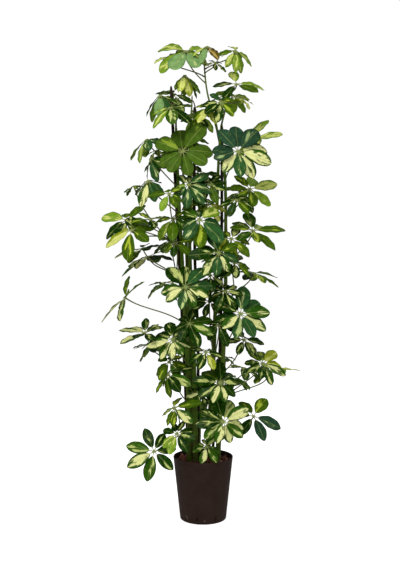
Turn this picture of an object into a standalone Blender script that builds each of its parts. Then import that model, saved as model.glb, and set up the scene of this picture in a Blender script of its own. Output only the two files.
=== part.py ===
"""A potted variegated dwarf umbrella tree, about 1.4 m tall.

The plant grows in a tapered nursery pot filled with clay pebbles. Five woody stems stand in the
pebbles beside three stakes. Each stem carries compound leaves: a petiole, a hub and a ring of
leaflets. The origin is the centre of the pot's underside, +Z is up and the viewer looks along +Y.
"""

import math
import random
from collections import namedtuple

import bmesh
import bpy
from mathutils import Vector
from mathutils.bvhtree import BVHTree
from mathutils.geometry import delaunay_2d_cdt

MM = 0.001
UP = Vector((0.0, 0.0, 1.0))
CLEARANCE = 0.3 * MM

# Pot
POT_HEIGHT = 190 * MM
POT_RIM_RADIUS = 90 * MM
POT_BASE_RADIUS = 70 * MM
POT_WALL = 2.4 * MM
POT_FLOOR = 3.0 * MM
POT_CORNER = 4.0 * MM
POT_SIDES = 32
SLOT_COUNT = 8
SLOT_WIDTH = 4.0 * MM
SLOT_LOW = 4.0 * MM
SLOT_HIGH = 17.0 * MM
SLOT_TURN = math.radians(-105)

# Clay pebbles
FILL_LEVEL = 175 * MM
PEBBLE_PITCH = 11.5 * MM
PEBBLE_RISE = 6.0 * MM
PEBBLE_SEED = 5
HOLE_SIDES = 12
STEM_DEPTH_LEVEL = 60 * MM
STAKE_DEPTH_LEVEL = 12 * MM
STRAIGHT_TO = 190 * MM

# Stakes and stems, with the radius at the foot and at the tip
STAKE_RADIUS = 4.5 * MM
STEM_RADII = (8.0 * MM, 3.6 * MM)
CROWN_RADII = (3.5 * MM, 2.0 * MM)
SPRAY_RADIUS = 2.8 * MM
ROD_RESOLUTION = 2
SHOOT_RESOLUTION = 1

# Ties
TIE_RADIUS = 1.0 * MM
TIE_SLACK = 0.4 * MM
TIE_STEPS = 5

# Leaves: the petiole, the hub, the leaflets' stalks and their blades
PETIOLE_RADIUS = 1.9 * MM
PETIOLE_SIDES = 3
PETIOLE_RINGS = 3
PETIOLE_ARCH = (0.34, 0.30)
PETIOLE_RISE = 0.80
HUB_RADIUS = 4.0 * MM
HUB_DEPTH = 2.4 * MM
HUB_NECK = 6.5 * MM
STALK_SHARE = 0.12
STALK_WIDTH = 2.4 * MM
BLADE_ASPECT = 0.50
BLADE_KEEL = 1.7 * MM
BLADE_STATIONS = ((0.38, 0.90), (0.76, 0.88))
PLAIN_STATIONS = ((0.58, 0.98),)
PLAIN_REACH = 90
PLAIN_FACING = 100

# How leaflets vary: degrees of turn, layer, hang and curl, and shares of the leaf's reach
TURN_SPREAD = 6
LAYER = 9
HANG_SPREAD = 4
CURL = (12, 34)
SIDE_SHARE = 0.85
LENGTH_DRAW = 0.93

# How a shoot or a leaf is set on what carries it
SEAT_GAP = 0.35 * MM
SEAT_REACH = 50 * MM
ROOT_MARGIN = 4.0 * MM
TEST_SWELL = 0.5 * MM

# Paths of the rods from the pebbles up: side, depth and height in millimetres
STAKES = {
    "stake_left": ((-45, 12, 170), (-55, 8, 420), (-65, 4, 645), (-80, 2, 945), (-95, 0, 1295)),
    "stake_middle": ((-10, 6, 170), (-15, 6, 360), (-15, 6, 570), (-27, 6, 800), (-26, 6, 1235)),
    "stake_right": ((27, 12, 170), (42, 12, 360), (51, 10, 510), (55, 8, 690), (56, 6, 1180)),
}
STEMS = {
    "left": (
        (-40, -12, 175), (-42, -12, 300), (-45, -12, 425), (-50, -14, 545), (-56, -14, 665),
        (-64, -14, 810), (-71, -14, 945), (-77, -14, 1080), (-80, -14, 1170),
    ),
    "middle": (
        (-22, -20, 175), (-24, -20, 305), (-26, -18, 425), (-31, -14, 545), (-36, -12, 665),
        (-40, -12, 810), (-42, -12, 960), (-40, -12, 1105), (-36, -12, 1200),
    ),
    "tall": (
        (44, -10, 175), (50, -10, 300), (57, -12, 455), (64, -12, 575), (67, -12, 695),
        (67, -12, 870), (66, -14, 1020), (57, -18, 1090), (46, -20, 1140), (34, -20, 1195),
    ),
    "back_right": (
        (14, 36, 175), (24, 36, 355), (33, 36, 505), (38, 34, 660), (40, 32, 810),
        (42, 30, 960), (47, 28, 1110), (55, 26, 1185),
    ),
    "back_left": (
        (-30, 32, 175), (-32, 34, 355), (-38, 34, 505), (-45, 32, 660), (-50, 30, 810),
        (-55, 28, 915), (-60, 28, 1030),
    ),
}
# Each tie: its stake, its stem and its height in millimetres
TIES = {
    "tie_left": ("stake_left", "left", 655),
    "tie_middle": ("stake_middle", "middle", 480),
    "tie_right": ("stake_right", "tall", 600),
}
# Green upper ends of the stems: the stem and the path that goes on from its tip
CROWNS = {
    "crown_tall": ("tall", ((20, -18, 1240), (10, -16, 1280), (4, -14, 1335), (2, -12, 1370))),
    "crown_left": ("left", ((-80, -12, 1210), (-78, -10, 1255))),
    "crown_middle": ("middle", ((-34, -10, 1230), (-33, -8, 1258))),
    "crown_right": ("back_right", ((65, 24, 1225), (75, 22, 1260))),
    "crown_back": ("back_left", ((-61, 32, 1070), (-64, 38, 1115))),
}
# Side shoots: the stem, the height they leave it at and the place of their end
SPRAYS = {
    "spray_upper_left": ("left", 1040, (-105, -14, 1075)),
    "spray_upper_right": ("back_right", 880, (75, 38, 920)),
    "spray_mid_left": ("left", 815, (-105, -26, 850)),
    "spray_left": ("left", 715, (-92, -14, 745)),
    "spray_mid_right": ("tall", 660, (95, -20, 690)),
    "spray_low_left": ("back_left", 440, (-80, 28, 475)),
    "spray_low_right": ("back_right", 330, (65, 34, 365)),
    "spray_low_middle": ("back_right", 480, (38, 0, 510)),
    "spray_base_left": ("left", 240, (-60, -34, 262)),
    "spray_base_middle": ("middle", 208, (-8, -40, 232)),
}

# A leaf: what carries it, its hub (side, depth, height), the height its petiole starts at, all in
# millimetres; how far it leans from level and to which side (0 is the front, 90 the right), the
# reach of its longest leaflet in millimetres, its leaflets, how far they hang in degrees, and how
# wide a blade is for its length
LEAF_FIELDS = "carrier side depth height start lean facing reach blades droop aspect"
Leaf = namedtuple("Leaf", LEAF_FIELDS, defaults=(BLADE_ASPECT,))
LEAVES = (
    Leaf("crown_tall", -50, -25, 1392, 1300, 36, 5, 108, 7, 10, 0.66),
    Leaf("crown_tall", 11, -25, 1400, 1365, 25, 0, 64, 7, 28),
    Leaf("crown_tall", 95, -5, 1396, 1355, 52, 20, 84, 8, 34, 0.46),
    Leaf("crown_tall", 97, -20, 1298, 1245, 38, 0, 104, 5, 0, 0.42),
    Leaf("crown_tall", 12, -70, 1222, 1210, 45, -10, 62, 7, 14),
    Leaf("crown_right", 112, 15, 1262, 1245, 20, 60, 50, 6, 10),
    Leaf("crown_right", 50, -60, 1236, 1220, 52, 10, 66, 8, 8),
    Leaf("crown_right", 90, 100, 1285, 1230, 28, 150, 78, 7, 20),
    Leaf("crown_left", -54, -20, 1322, 1250, 14, 0, 80, 9, 48, 0.48),
    Leaf("crown_left", -126, -15, 1262, 1210, 22, -35, 84, 8, 42),
    Leaf("crown_left", -94, -60, 1217, 1185, 32, -20, 84, 7, 12),
    Leaf("crown_left", -90, 90, 1285, 1225, 28, 170, 80, 7, 22),
    Leaf("crown_middle", -22, -55, 1197, 1222, 35, 0, 56, 6, 14),
    Leaf("crown_middle", -10, 115, 1225, 1235, 30, 165, 76, 7, 20),
    Leaf("crown_back", -95, 120, 1140, 1085, 30, -150, 80, 7, 20),
    Leaf("crown_back", -35, 130, 1155, 1075, 30, 165, 80, 7, 20),
    Leaf("crown_back", -135, 60, 1095, 1050, 30, -110, 72, 6, 20),
    Leaf("middle", -58, -115, 1094, 1040, 66, -10, 106, 8, 4, 0.60),
    Leaf("tall", 98, -125, 1092, 1025, 64, 8, 110, 10, 2, 0.52),
    Leaf("back_right", 138, 45, 1138, 1070, 34, -50, 114, 6, -6),
    Leaf("spray_upper_left", -167, -20, 1136, 1070, 28, -70, 86, 7, 22),
    Leaf("spray_upper_left", -138, 25, 1108, 1065, 25, -30, 50, 6, 22),
    Leaf("spray_mid_left", -207, 20, 1003, 845, 15, -80, 46, 5, 14),
    Leaf("left", -152, -60, 1078, 1000, 45, -70, 80, 6, 38),
    Leaf("left", -158, -80, 1012, 920, 38, -12, 88, 8, 42),
    Leaf("middle", -42, -110, 1000, 935, 52, -8, 80, 8, 10),
    Leaf("tall", 18, -85, 1003, 950, 50, -15, 78, 8, 12),
    Leaf("middle", 12, -60, 945, 880, 40, 15, 68, 7, 14),
    Leaf("spray_upper_right", 138, -15, 992, 915, 50, 15, 90, 7, 0),
    Leaf("spray_upper_right", 95, -40, 958, 905, 40, 0, 64, 7, 14),
    Leaf("spray_upper_right", 115, 110, 990, 912, 30, 150, 80, 6, 18),
    Leaf("spray_mid_left", -228, -5, 902, 845, 45, -20, 98, 7, 6),
    Leaf("spray_mid_left", -204, -60, 872, 840, 45, -20, 98, 7, 12),
    Leaf("spray_left", -178, -35, 818, 742, 20, -60, 92, 7, -4),
    Leaf("spray_left", -165, 40, 792, 735, 20, -80, 112, 7, 4),
    Leaf("left", -86, -85, 904, 860, 40, -18, 82, 7, 12),
    Leaf("middle", -10, -125, 900, 825, 55, 4, 92, 8, 14, 0.58),
    Leaf("tall", 43, -135, 806, 715, 60, 5, 92, 9, 8),
    Leaf("middle", -50, -140, 710, 615, 60, -6, 98, 9, 8),
    Leaf("tall", 146, -30, 870, 775, 32, 20, 104, 8, -6),
    Leaf("tall", 82, -85, 846, 790, 45, 10, 80, 7, 10),
    Leaf("spray_mid_right", 92, -55, 777, 688, 38, 30, 84, 7, 6),
    Leaf("spray_mid_right", 150, 10, 744, 680, 14, 60, 98, 7, 4),
    Leaf("spray_mid_right", 62, -85, 694, 684, 48, -15, 70, 7, 12),
    Leaf("left", -232, -10, 670, 595, 54, -80, 114, 6, -10, 0.46),
    Leaf("spray_low_left", -172, -50, 570, 470, 20, -30, 90, 9, -16, 0.44),
    Leaf("spray_low_left", -155, 26, 526, 460, 4, -85, 74, 6, 0),
    Leaf("middle", -88, -100, 557, 455, 50, -12, 86, 9, 10),
    Leaf("left", -40, -70, 602, 540, 48, -10, 82, 7, 12),
    Leaf("left", -104, -60, 450, 360, 42, -60, 86, 9, 26, 0.46),
    Leaf("spray_base_left", -84, -80, 352, 258, 40, -45, 86, 8, 14, 0.46),
    Leaf("spray_base_left", -77, -75, 282, 254, 50, -20, 68, 8, 4),
    Leaf("left", -144, -90, 226, 240, 64, 0, 98, 7, -2, 0.46),
    Leaf("tall", 107, -120, 630, 525, 56, 12, 106, 10, 4),
    Leaf("tall", 120, -35, 547, 450, 35, 20, 78, 8, 10),
    Leaf("spray_low_right", 178, -20, 474, 362, 40, 20, 84, 9, 0),
    Leaf("spray_low_right", 198, 25, 440, 356, 12, -80, 108, 5, -4),
    Leaf("spray_low_right", 72, 20, 484, 360, 20, 60, 50, 6, 8),
    Leaf("spray_low_middle", 45, -75, 596, 508, 42, -5, 76, 7, 14),
    Leaf("spray_low_middle", 7, -105, 520, 488, 35, 5, 66, 7, 12),
    Leaf("tall", 50, -100, 430, 335, 50, 10, 88, 9, 10),
    Leaf("tall", 150, -35, 318, 240, 45, 18, 104, 6, 4, 0.46),
    Leaf("tall", 57, -115, 322, 230, 58, 5, 100, 10, 8),
    Leaf("spray_base_middle", 10, -70, 236, 228, 40, 10, 60, 7, 12),
    Leaf("spray_base_middle", -6, -75, 392, 230, 45, 8, 58, 7, 14),
    Leaf("spray_mid_right", 20, -80, 740, 686, 45, 0, 74, 7, 12),
    Leaf("spray_left", -80, -95, 835, 742, 40, -20, 64, 7, 12),
    Leaf("spray_left", -105, 105, 840, 736, 30, -150, 80, 6, 10),
    Leaf("spray_low_left", -82, 98, 560, 468, 30, -150, 76, 7, 16),
    Leaf("spray_low_right", 90, 80, 420, 360, 30, 150, 80, 6, 14),
    Leaf("crown_tall", -102, 12, 1384, 1318, 35, -30, 52, 6, 14, 0.60),
    Leaf("crown_tall", 34, -30, 1356, 1330, 35, 20, 44, 5, 12),
    Leaf("crown_back", -2, 80, 1045, 1085, 40, 10, 72, 7, 10),
    Leaf("spray_mid_left", -96, -75, 972, 846, 45, 0, 70, 6, 16),
    Leaf("spray_low_middle", 18, -45, 663, 500, 45, 0, 70, 7, 12),
    Leaf("spray_low_left", -100, -60, 484, 462, 45, -25, 68, 7, 14),
    Leaf("spray_mid_left", -152, -45, 901, 842, 15, -10, 66, 7, -12),
)

# Leaves at the back, where a rule with seeded draws places them
BACK_SEED = 11
BACK_COUNT = 8
BACK_LOW = 330
BACK_STEP = 92
BACK_CARRIERS = ("back_left", "back_right")

# Steps by which a leaf gives way to its neighbours: hub depth and petiole height, in millimetres
DEPTH_STEPS = (0, 10, -10, 20, -20, 32, -32, 45, -45, 60, -60, 75, -75)
START_STEPS = (0, 14, -14, 28, -28)


def clear_scene():
    """Remove whatever the opening scene holds."""
    for ob in list(bpy.data.objects):
        bpy.data.objects.remove(ob, do_unlink=True)


def new_collection(name):
    """Make a collection in the scene."""
    group = bpy.data.collections.new(name)
    bpy.context.scene.collection.children.link(group)
    return group


def new_material(name, colour, roughness, metallic=0.0):
    """Make a plain Principled material."""
    mat = bpy.data.materials.new(name)
    mat.use_nodes = True
    shader = mat.node_tree.nodes["Principled BSDF"]
    shader.inputs["Base Color"].default_value = (*colour, 1.0)
    shader.inputs["Roughness"].default_value = roughness
    shader.inputs["Metallic"].default_value = metallic
    return mat


def new_object(name, mesh, mat, group):
    """Make a named object with its own material in a collection."""
    ob = bpy.data.objects.new(name, mesh)
    if mat is not None:
        ob.data.materials.clear()
        ob.data.materials.append(mat)
    group.objects.link(ob)
    return ob


def mesh_from(name, verts, faces):
    """Make a mesh from points and faces, with every face turned outwards."""
    mesh = bpy.data.meshes.new(name)
    mesh.from_pydata([tuple(v) for v in verts], [], faces)
    bm = bmesh.new()
    bm.from_mesh(mesh)
    bmesh.ops.recalc_face_normals(bm, faces=bm.faces)
    bm.to_mesh(mesh)
    bm.free()
    return mesh


def hide_cutter(ob):
    """Mark an object as a cutter, which is no piece of the part."""
    ob.hide_render = True
    ob.display_type = "WIRE"


def add_boolean(ob, group, operation, solver="EXACT"):
    """Cut an object by a collection, or join it with one."""
    modifier = ob.modifiers.new("join" if operation == "UNION" else "cut", "BOOLEAN")
    modifier.operation = operation
    modifier.operand_type = "COLLECTION"
    modifier.collection = group
    modifier.solver = solver
    return modifier


def evaluated_mesh(ob):
    """Return an object's mesh as its modifiers or its curve settings make it."""
    graph = bpy.context.evaluated_depsgraph_get()
    return bpy.data.meshes.new_from_object(ob.evaluated_get(graph))


def tube_mesh(name, points, radii, resolution, cyclic=False):
    """Sweep a round section along points and weld its end caps."""
    curve = bpy.data.curves.new(name, "CURVE")
    curve.dimensions = "3D"
    curve.bevel_depth = 1.0
    curve.bevel_resolution = resolution
    curve.use_fill_caps = not cyclic
    spline = curve.splines.new("POLY")
    spline.points.add(len(points) - 1)
    spline.use_cyclic_u = cyclic
    for knot, place, radius in zip(spline.points, points, radii):
        knot.co = (*place, 1.0)
        knot.radius = radius
    guide = bpy.data.objects.new(name + "_path", curve)
    bpy.context.scene.collection.objects.link(guide)
    bpy.context.view_layer.update()
    mesh = evaluated_mesh(guide)
    mesh.transform(guide.matrix_world)
    mesh.name = name
    bpy.data.objects.remove(guide, do_unlink=True)
    bm = bmesh.new()
    bm.from_mesh(mesh)
    bmesh.ops.remove_doubles(bm, verts=bm.verts, dist=0.01 * MM)
    bmesh.ops.recalc_face_normals(bm, faces=bm.faces)
    bm.to_mesh(mesh)
    bm.free()
    return mesh


def smooth_sides(mesh):
    """Shade a round piece smooth, with its sharp edges kept."""
    mesh.shade_smooth()
    mesh.set_sharp_from_angle(angle=math.radians(50))


def tree_of(mesh):
    """Return a search tree over a mesh's faces."""
    return BVHTree.FromPolygons([v.co for v in mesh.vertices], [tuple(p.vertices) for p in mesh.polygons])


def inner_radius(height):
    """Return the radius of the pot's inner wall at a height."""
    low = POT_FLOOR + POT_WALL
    share = (height - low) / (POT_HEIGHT - low)
    foot = POT_BASE_RADIUS - POT_WALL
    return foot + (POT_RIM_RADIUS - POT_WALL - foot) * share


def pot_profile():
    """Return the half section of the pot, down its outer side."""
    return (
        (0.0, POT_FLOOR),
        (inner_radius(POT_FLOOR) - POT_WALL, POT_FLOOR),
        (inner_radius(POT_FLOOR + POT_WALL), POT_FLOOR + POT_WALL),
        (inner_radius(POT_HEIGHT), POT_HEIGHT),
        (POT_RIM_RADIUS - 0.4 * MM, POT_HEIGHT),
        (POT_RIM_RADIUS, POT_HEIGHT - 0.6 * MM),
        (POT_BASE_RADIUS, POT_CORNER),
        (POT_BASE_RADIUS - POT_CORNER, 0.0),
        (0.0, 0.0),
    )


def make_pot(mat, group, cutters):
    """Turn the pot's section about its axis and cut the slots low in its wall."""
    profile = [(radius, 0.0, height) for radius, height in pot_profile()]
    mesh = bpy.data.meshes.new("pot")
    mesh.from_pydata(profile, [(i, i + 1) for i in range(len(profile) - 1)], [])
    pot = new_object("pot", mesh, mat, group)
    screw = pot.modifiers.new("turn", "SCREW")
    screw.steps = POT_SIDES
    screw.render_steps = POT_SIDES
    screw.use_merge_vertices = True
    screw.merge_threshold = 0.00001
    slots = new_collection("pot_slots")
    cutters.children.link(slots)
    bpy.context.scene.collection.children.unlink(slots)
    for index in range(SLOT_COUNT):
        angle = SLOT_TURN + 2 * math.pi * index / SLOT_COUNT
        bpy.ops.mesh.primitive_cube_add(size=1.0)
        slot = bpy.context.object
        slot.name = f"slot_{index + 1}"
        slot.scale = (4 * POT_CORNER, SLOT_WIDTH, SLOT_HIGH - SLOT_LOW)
        radius = POT_BASE_RADIUS
        slot.location = (radius * math.cos(angle), radius * math.sin(angle), (SLOT_LOW + SLOT_HIGH) / 2)
        slot.rotation_euler = (0.0, 0.0, angle)
        for owner in list(slot.users_collection):
            owner.objects.unlink(slot)
        slots.objects.link(slot)
        hide_cutter(slot)
    add_boolean(pot, slots, "DIFFERENCE")
    return pot


def pebble_points():
    """Return the points of the pebble bed: a ring at the wall and a lattice with raised centres."""
    rng = random.Random(PEBBLE_SEED)
    radius = inner_radius(FILL_LEVEL) - CLEARANCE
    ring = []
    for index in range(POT_SIDES):
        angle = 2 * math.pi * index / POT_SIDES
        ring.append((radius * math.cos(angle), radius * math.sin(angle), FILL_LEVEL))
    field = []
    reach = int(radius / PEBBLE_PITCH) + 2
    for row in range(-reach, reach + 1):
        for column in range(-2 * reach, 2 * reach + 1):
            x = PEBBLE_PITCH * (column + row / 2)
            y = PEBBLE_PITCH * row * math.sqrt(3) / 2
            if math.hypot(x, y) > radius - 0.55 * PEBBLE_PITCH:
                continue
            top = (column - row) % 3 == 0
            rise = PEBBLE_RISE * rng.uniform(0.6, 1.0) if top else -rng.uniform(0.0, 1.0) * MM
            field.append((x, y, FILL_LEVEL + rise))
    return ring, field


def make_pebbles(mat, group, cutters, rods):
    """Fill the pot with a bed of pebbles, with a plain hole for each rod that stands in it."""
    ring, field = pebble_points()
    points = ring + field
    flat = [Vector((p[0], p[1])) for p in points]
    _, _, faces, origins, _, _ = delaunay_2d_cdt(flat, [], [], 0, 1e-7)
    source = [o[0] for o in origins]
    faces = [tuple(source[i] for i in face) for face in faces]
    floor = POT_FLOOR + CLEARANCE
    low = POT_FLOOR + POT_WALL
    steps = ((low, inner_radius(low) - CLEARANCE), (floor, inner_radius(floor) - POT_WALL - CLEARANCE))
    above = list(range(POT_SIDES))
    for height, radius in steps:
        below = list(range(len(points), len(points) + POT_SIDES))
        for index in range(POT_SIDES):
            angle = 2 * math.pi * index / POT_SIDES
            points.append((radius * math.cos(angle), radius * math.sin(angle), height))
        for index in range(POT_SIDES):
            after = (index + 1) % POT_SIDES
            faces.append((above[index], below[index], below[after], above[after]))
        above = below
    faces.append(tuple(above))
    pebbles = new_object("clay_pebbles", mesh_from("clay_pebbles", points, faces), mat, group)
    holes = new_collection("pebble_holes")
    cutters.children.link(holes)
    bpy.context.scene.collection.children.unlink(holes)
    for name, (foot, radius, level) in rods.items():
        reach = (radius + CLEARANCE) / math.cos(math.pi / HOLE_SIDES)
        top = FILL_LEVEL + 3 * PEBBLE_RISE
        low = level - CLEARANCE
        bpy.ops.mesh.primitive_cylinder_add(vertices=HOLE_SIDES, radius=reach, depth=top - low)
        hole = bpy.context.object
        hole.name = "hole_" + name
        hole.location = (foot[0], foot[1], (top + low) / 2)
        for owner in list(hole.users_collection):
            owner.objects.unlink(hole)
        holes.objects.link(hole)
        hide_cutter(hole)
    add_boolean(pebbles, holes, "DIFFERENCE")
    return pebbles


def rod_path(knots, level):
    """Return a rod's points in metres: straight up out of the pebbles, then along its knots."""
    foot = Vector(knots[0]) * MM
    path = [Vector((foot.x, foot.y, level)), Vector((foot.x, foot.y, STRAIGHT_TO))]
    return path + [Vector(k) * MM for k in knots[1:]]


def stem_radius(path, height):
    """Return a stem's radius at a height."""
    share = (height - path[1].z) / (path[-1].z - path[1].z)
    return STEM_RADII[0] + (STEM_RADII[1] - STEM_RADII[0]) * min(max(share, 0.0), 1.0)


def point_at(path, height):
    """Return the point of a rising path at a height."""
    for low, high in zip(path, path[1:]):
        rise = high.z - low.z
        if height <= high.z and rise > CLEARANCE:
            return low.lerp(high, max(0.0, (height - low.z) / rise))
    return path[-1].copy()


def make_rods(mats, group):
    """Make the stakes and the stems, and return their paths."""
    paths = {}
    for name, knots in STAKES.items():
        path = rod_path(knots, STAKE_DEPTH_LEVEL)
        mesh = tube_mesh(name, path, [STAKE_RADIUS] * len(path), ROD_RESOLUTION)
        smooth_sides(mesh)
        new_object(name, mesh, mats["stake"], group)
        paths[name] = path
    for name, knots in STEMS.items():
        path = rod_path(knots, STEM_DEPTH_LEVEL)
        radii = [stem_radius(path, p.z) for p in path]
        mesh = tube_mesh("stem_" + name, path, radii, ROD_RESOLUTION)
        smooth_sides(mesh)
        new_object("stem_" + name, mesh, mats["bark"], group)
        paths[name] = path
    return paths


def make_ties(mats, group, paths):
    """Loop a tie round each stake and the stem beside it."""
    for name, (stake, stem, height) in TIES.items():
        level = height * MM
        ends = (
            (point_at(paths[stake], level), STAKE_RADIUS),
            (point_at(paths[stem], level), stem_radius(paths[stem], level)),
        )
        points = []
        for (here, radius), (there, _) in (ends, ends[::-1]):
            away = here - there
            heading = math.atan2(away.y, away.x)
            step = math.pi / (TIE_STEPS - 1)
            reach = (radius + TIE_SLACK + TIE_RADIUS) / math.cos(step / 2)
            for index in range(TIE_STEPS):
                angle = heading - math.pi / 2 + step * index
                arm = Vector((math.cos(angle), math.sin(angle), 0.0)) * reach
                points.append(Vector((here.x, here.y, level)) + arm)
        mesh = tube_mesh(name, points, [TIE_RADIUS] * len(points), 0, cyclic=True)
        new_object(name, mesh, mats["tie"], group)


def seat_on(tree, axis_point, out, half):
    """Return the place just off a rod's surface where a shoot's foot ring clears it."""
    side = out.cross(UP)
    reach = 0.0
    for across in (-half, 0.0, half):
        for rise in (-half, 0.0, half):
            start = axis_point + side * across + UP * rise + out * SEAT_REACH
            hit = tree.ray_cast(start, -out)[0]
            if hit is not None:
                reach = max(reach, (hit - axis_point).dot(out))
    return axis_point + out * (reach + SEAT_GAP)


def make_shoots(paths, trees):
    """Return the path and radii of each green shoot: crowns go on from a tip, sprays leave a side."""
    shoots = {}
    for name, (stem, knots) in CROWNS.items():
        tip = paths[stem][-1]
        ahead = (tip - paths[stem][-2]).normalized()
        path = [tip + ahead * SEAT_GAP, tip + ahead * 6 * MM] + [Vector(k) * MM for k in knots]
        last = len(path) - 1
        radii = [CROWN_RADII[0] + (CROWN_RADII[1] - CROWN_RADII[0]) * i / last for i in range(last + 1)]
        shoots[name] = (path, radii)
    for name, (stem, height, end) in SPRAYS.items():
        base = point_at(paths[stem], height * MM)
        end = Vector(end) * MM
        out = (end - base) * Vector((1.0, 1.0, 0.0))
        out.normalize()
        foot = seat_on(trees["stem_" + stem], base, out, SPRAY_RADIUS)
        path = [foot, foot + out * 4 * MM, end]
        shoots[name] = (path, [SPRAY_RADIUS, SPRAY_RADIUS, 0.8 * SPRAY_RADIUS])
    return shoots


def inner_path(path):
    """Return the stretch of a shoot's path in which a petiole can be rooted."""
    ahead = (path[-1] - path[-2]).normalized()
    return path[1:-1] + [path[-1] - ahead * ROOT_MARGIN]


def back_leaves():
    """Return the leaves behind the stems, drawn with a seed from bottom to top."""
    rng = random.Random(BACK_SEED)
    leaves = []
    for index in range(BACK_COUNT):
        carrier = BACK_CARRIERS[index % 2]
        height = BACK_LOW + BACK_STEP * index + rng.randint(-12, 12)
        turn = rng.randint(-40, 40) + (-25 if carrier == "back_left" else 25)
        distance = rng.randint(130, 200)
        side = round(distance * math.sin(math.radians(turn)))
        depth = 30 + round(distance * math.cos(math.radians(turn)))
        facing = 180 - turn
        reach = rng.randint(72, 90)
        blades = rng.choice((6, 7, 7, 8))
        leaves.append(Leaf(carrier, side, depth, height, height - rng.randint(45, 80),
                           rng.randint(20, 38), facing, reach, blades, rng.randint(6, 24)))
    return leaves


class LeafForm:
    """The shape of one compound leaf at one place."""

    def __init__(self, leaf, seed, hub, foot, out):
        self.leaf = leaf
        self.hub = hub
        self.foot = foot
        self.out = out
        lean = math.radians(leaf.lean)
        facing = math.radians(leaf.facing)
        sideways = Vector((math.sin(facing), -math.cos(facing), 0.0))
        self.axis = sideways * math.sin(lean) + UP * math.cos(lean)
        outward = hub - foot
        self.ahead = (outward - self.axis * outward.dot(self.axis)).normalized()
        self.across = self.axis.cross(self.ahead)
        self.plan = self.plan_leaflets(seed)

    def plan_leaflets(self, seed):
        """Draw each leaflet's turn, hang, curl and length."""
        rng = random.Random(seed)
        count = self.leaf.blades
        plan = []
        for index in range(count):
            even = 2 * math.pi * (index + 0.5) / count - math.pi
            turn = even + math.radians(rng.uniform(-TURN_SPREAD, TURN_SPREAD))
            layer = 0 if count % 2 and index == count - 1 else LAYER * (-1) ** index
            hang = math.radians(self.leaf.droop + layer + rng.uniform(-HANG_SPREAD, HANG_SPREAD))
            curl = math.radians(rng.uniform(*CURL))
            share = SIDE_SHARE + (1 - SIDE_SHARE) * math.cos(turn)
            length = self.leaf.reach * MM * share * rng.uniform(LENGTH_DRAW, 1.0)
            plan.append((turn, hang, curl, length))
        return plan

    def spine(self, item, distance):
        """Return the point, the heading and the upper side of a leaflet at a distance from the rim."""
        turn, hang, curl, length = item
        level = self.ahead * math.cos(turn) + self.across * math.sin(turn)
        bend = curl / length
        angle = hang + bend * distance
        along = (math.sin(angle) - math.sin(hang)) / bend
        down = (math.cos(hang) - math.cos(angle)) / bend
        point = self.hub + level * (HUB_RADIUS + along) - self.axis * down
        heading = level * math.cos(angle) - self.axis * math.sin(angle)
        upper = self.axis * math.cos(angle) + level * math.sin(angle)
        return point, heading, upper

    def petiole(self, count):
        """Return points along the petiole, from its foot to under the hub."""
        neck = self.hub - self.axis * HUB_NECK
        span = (neck - self.foot).length
        first = self.foot + (self.out + UP * PETIOLE_RISE).normalized() * (PETIOLE_ARCH[0] * span)
        second = neck - self.axis * (PETIOLE_ARCH[1] * span)
        points = []
        for index in range(count + 1):
            t = index / count
            u = 1 - t
            points.append(
                self.foot * u ** 3 + first * (3 * u * u * t) + second * (3 * u * t * t) + neck * t ** 3
            )
        return points


def ring_about(centre, heading, side, radius, count):
    """Return the points of a ring about a heading, and its side carried on."""
    side = (side - heading * side.dot(heading)).normalized()
    other = heading.cross(side)
    points = []
    for index in range(count):
        angle = 2 * math.pi * index / count
        points.append(centre + side * (radius * math.cos(angle)) + other * (radius * math.sin(angle)))
    return points, side


def stitch(outer, inner):
    """Join two loops of unlike counts, each a list of (angle, index), with triangles."""
    start = outer[0][0]
    wrap = [((a - start + math.pi) % (2 * math.pi) - math.pi, i) for a, i in inner]
    first = min(range(len(wrap)), key=lambda k: abs(wrap[k][0]))
    wrap = wrap[first:] + wrap[:first]
    near = [wrap[0][0] + 2 * math.pi * k / len(wrap) for k in range(len(wrap) + 1)]
    far = [a - start for a, _ in outer] + [2 * math.pi]
    faces = []
    i = j = 0
    while i < len(outer) or j < len(wrap):
        a = outer[i % len(outer)][1]
        b = wrap[j % len(wrap)][1]
        step_outer = j == len(wrap) or (i < len(outer) and far[i] + far[i + 1] <= near[j] + near[j + 1])
        if step_outer:
            i += 1
            faces.append((a, outer[i % len(outer)][1], b))
        else:
            j += 1
            faces.append((a, wrap[j % len(wrap)][1], b))
    return faces


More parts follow.
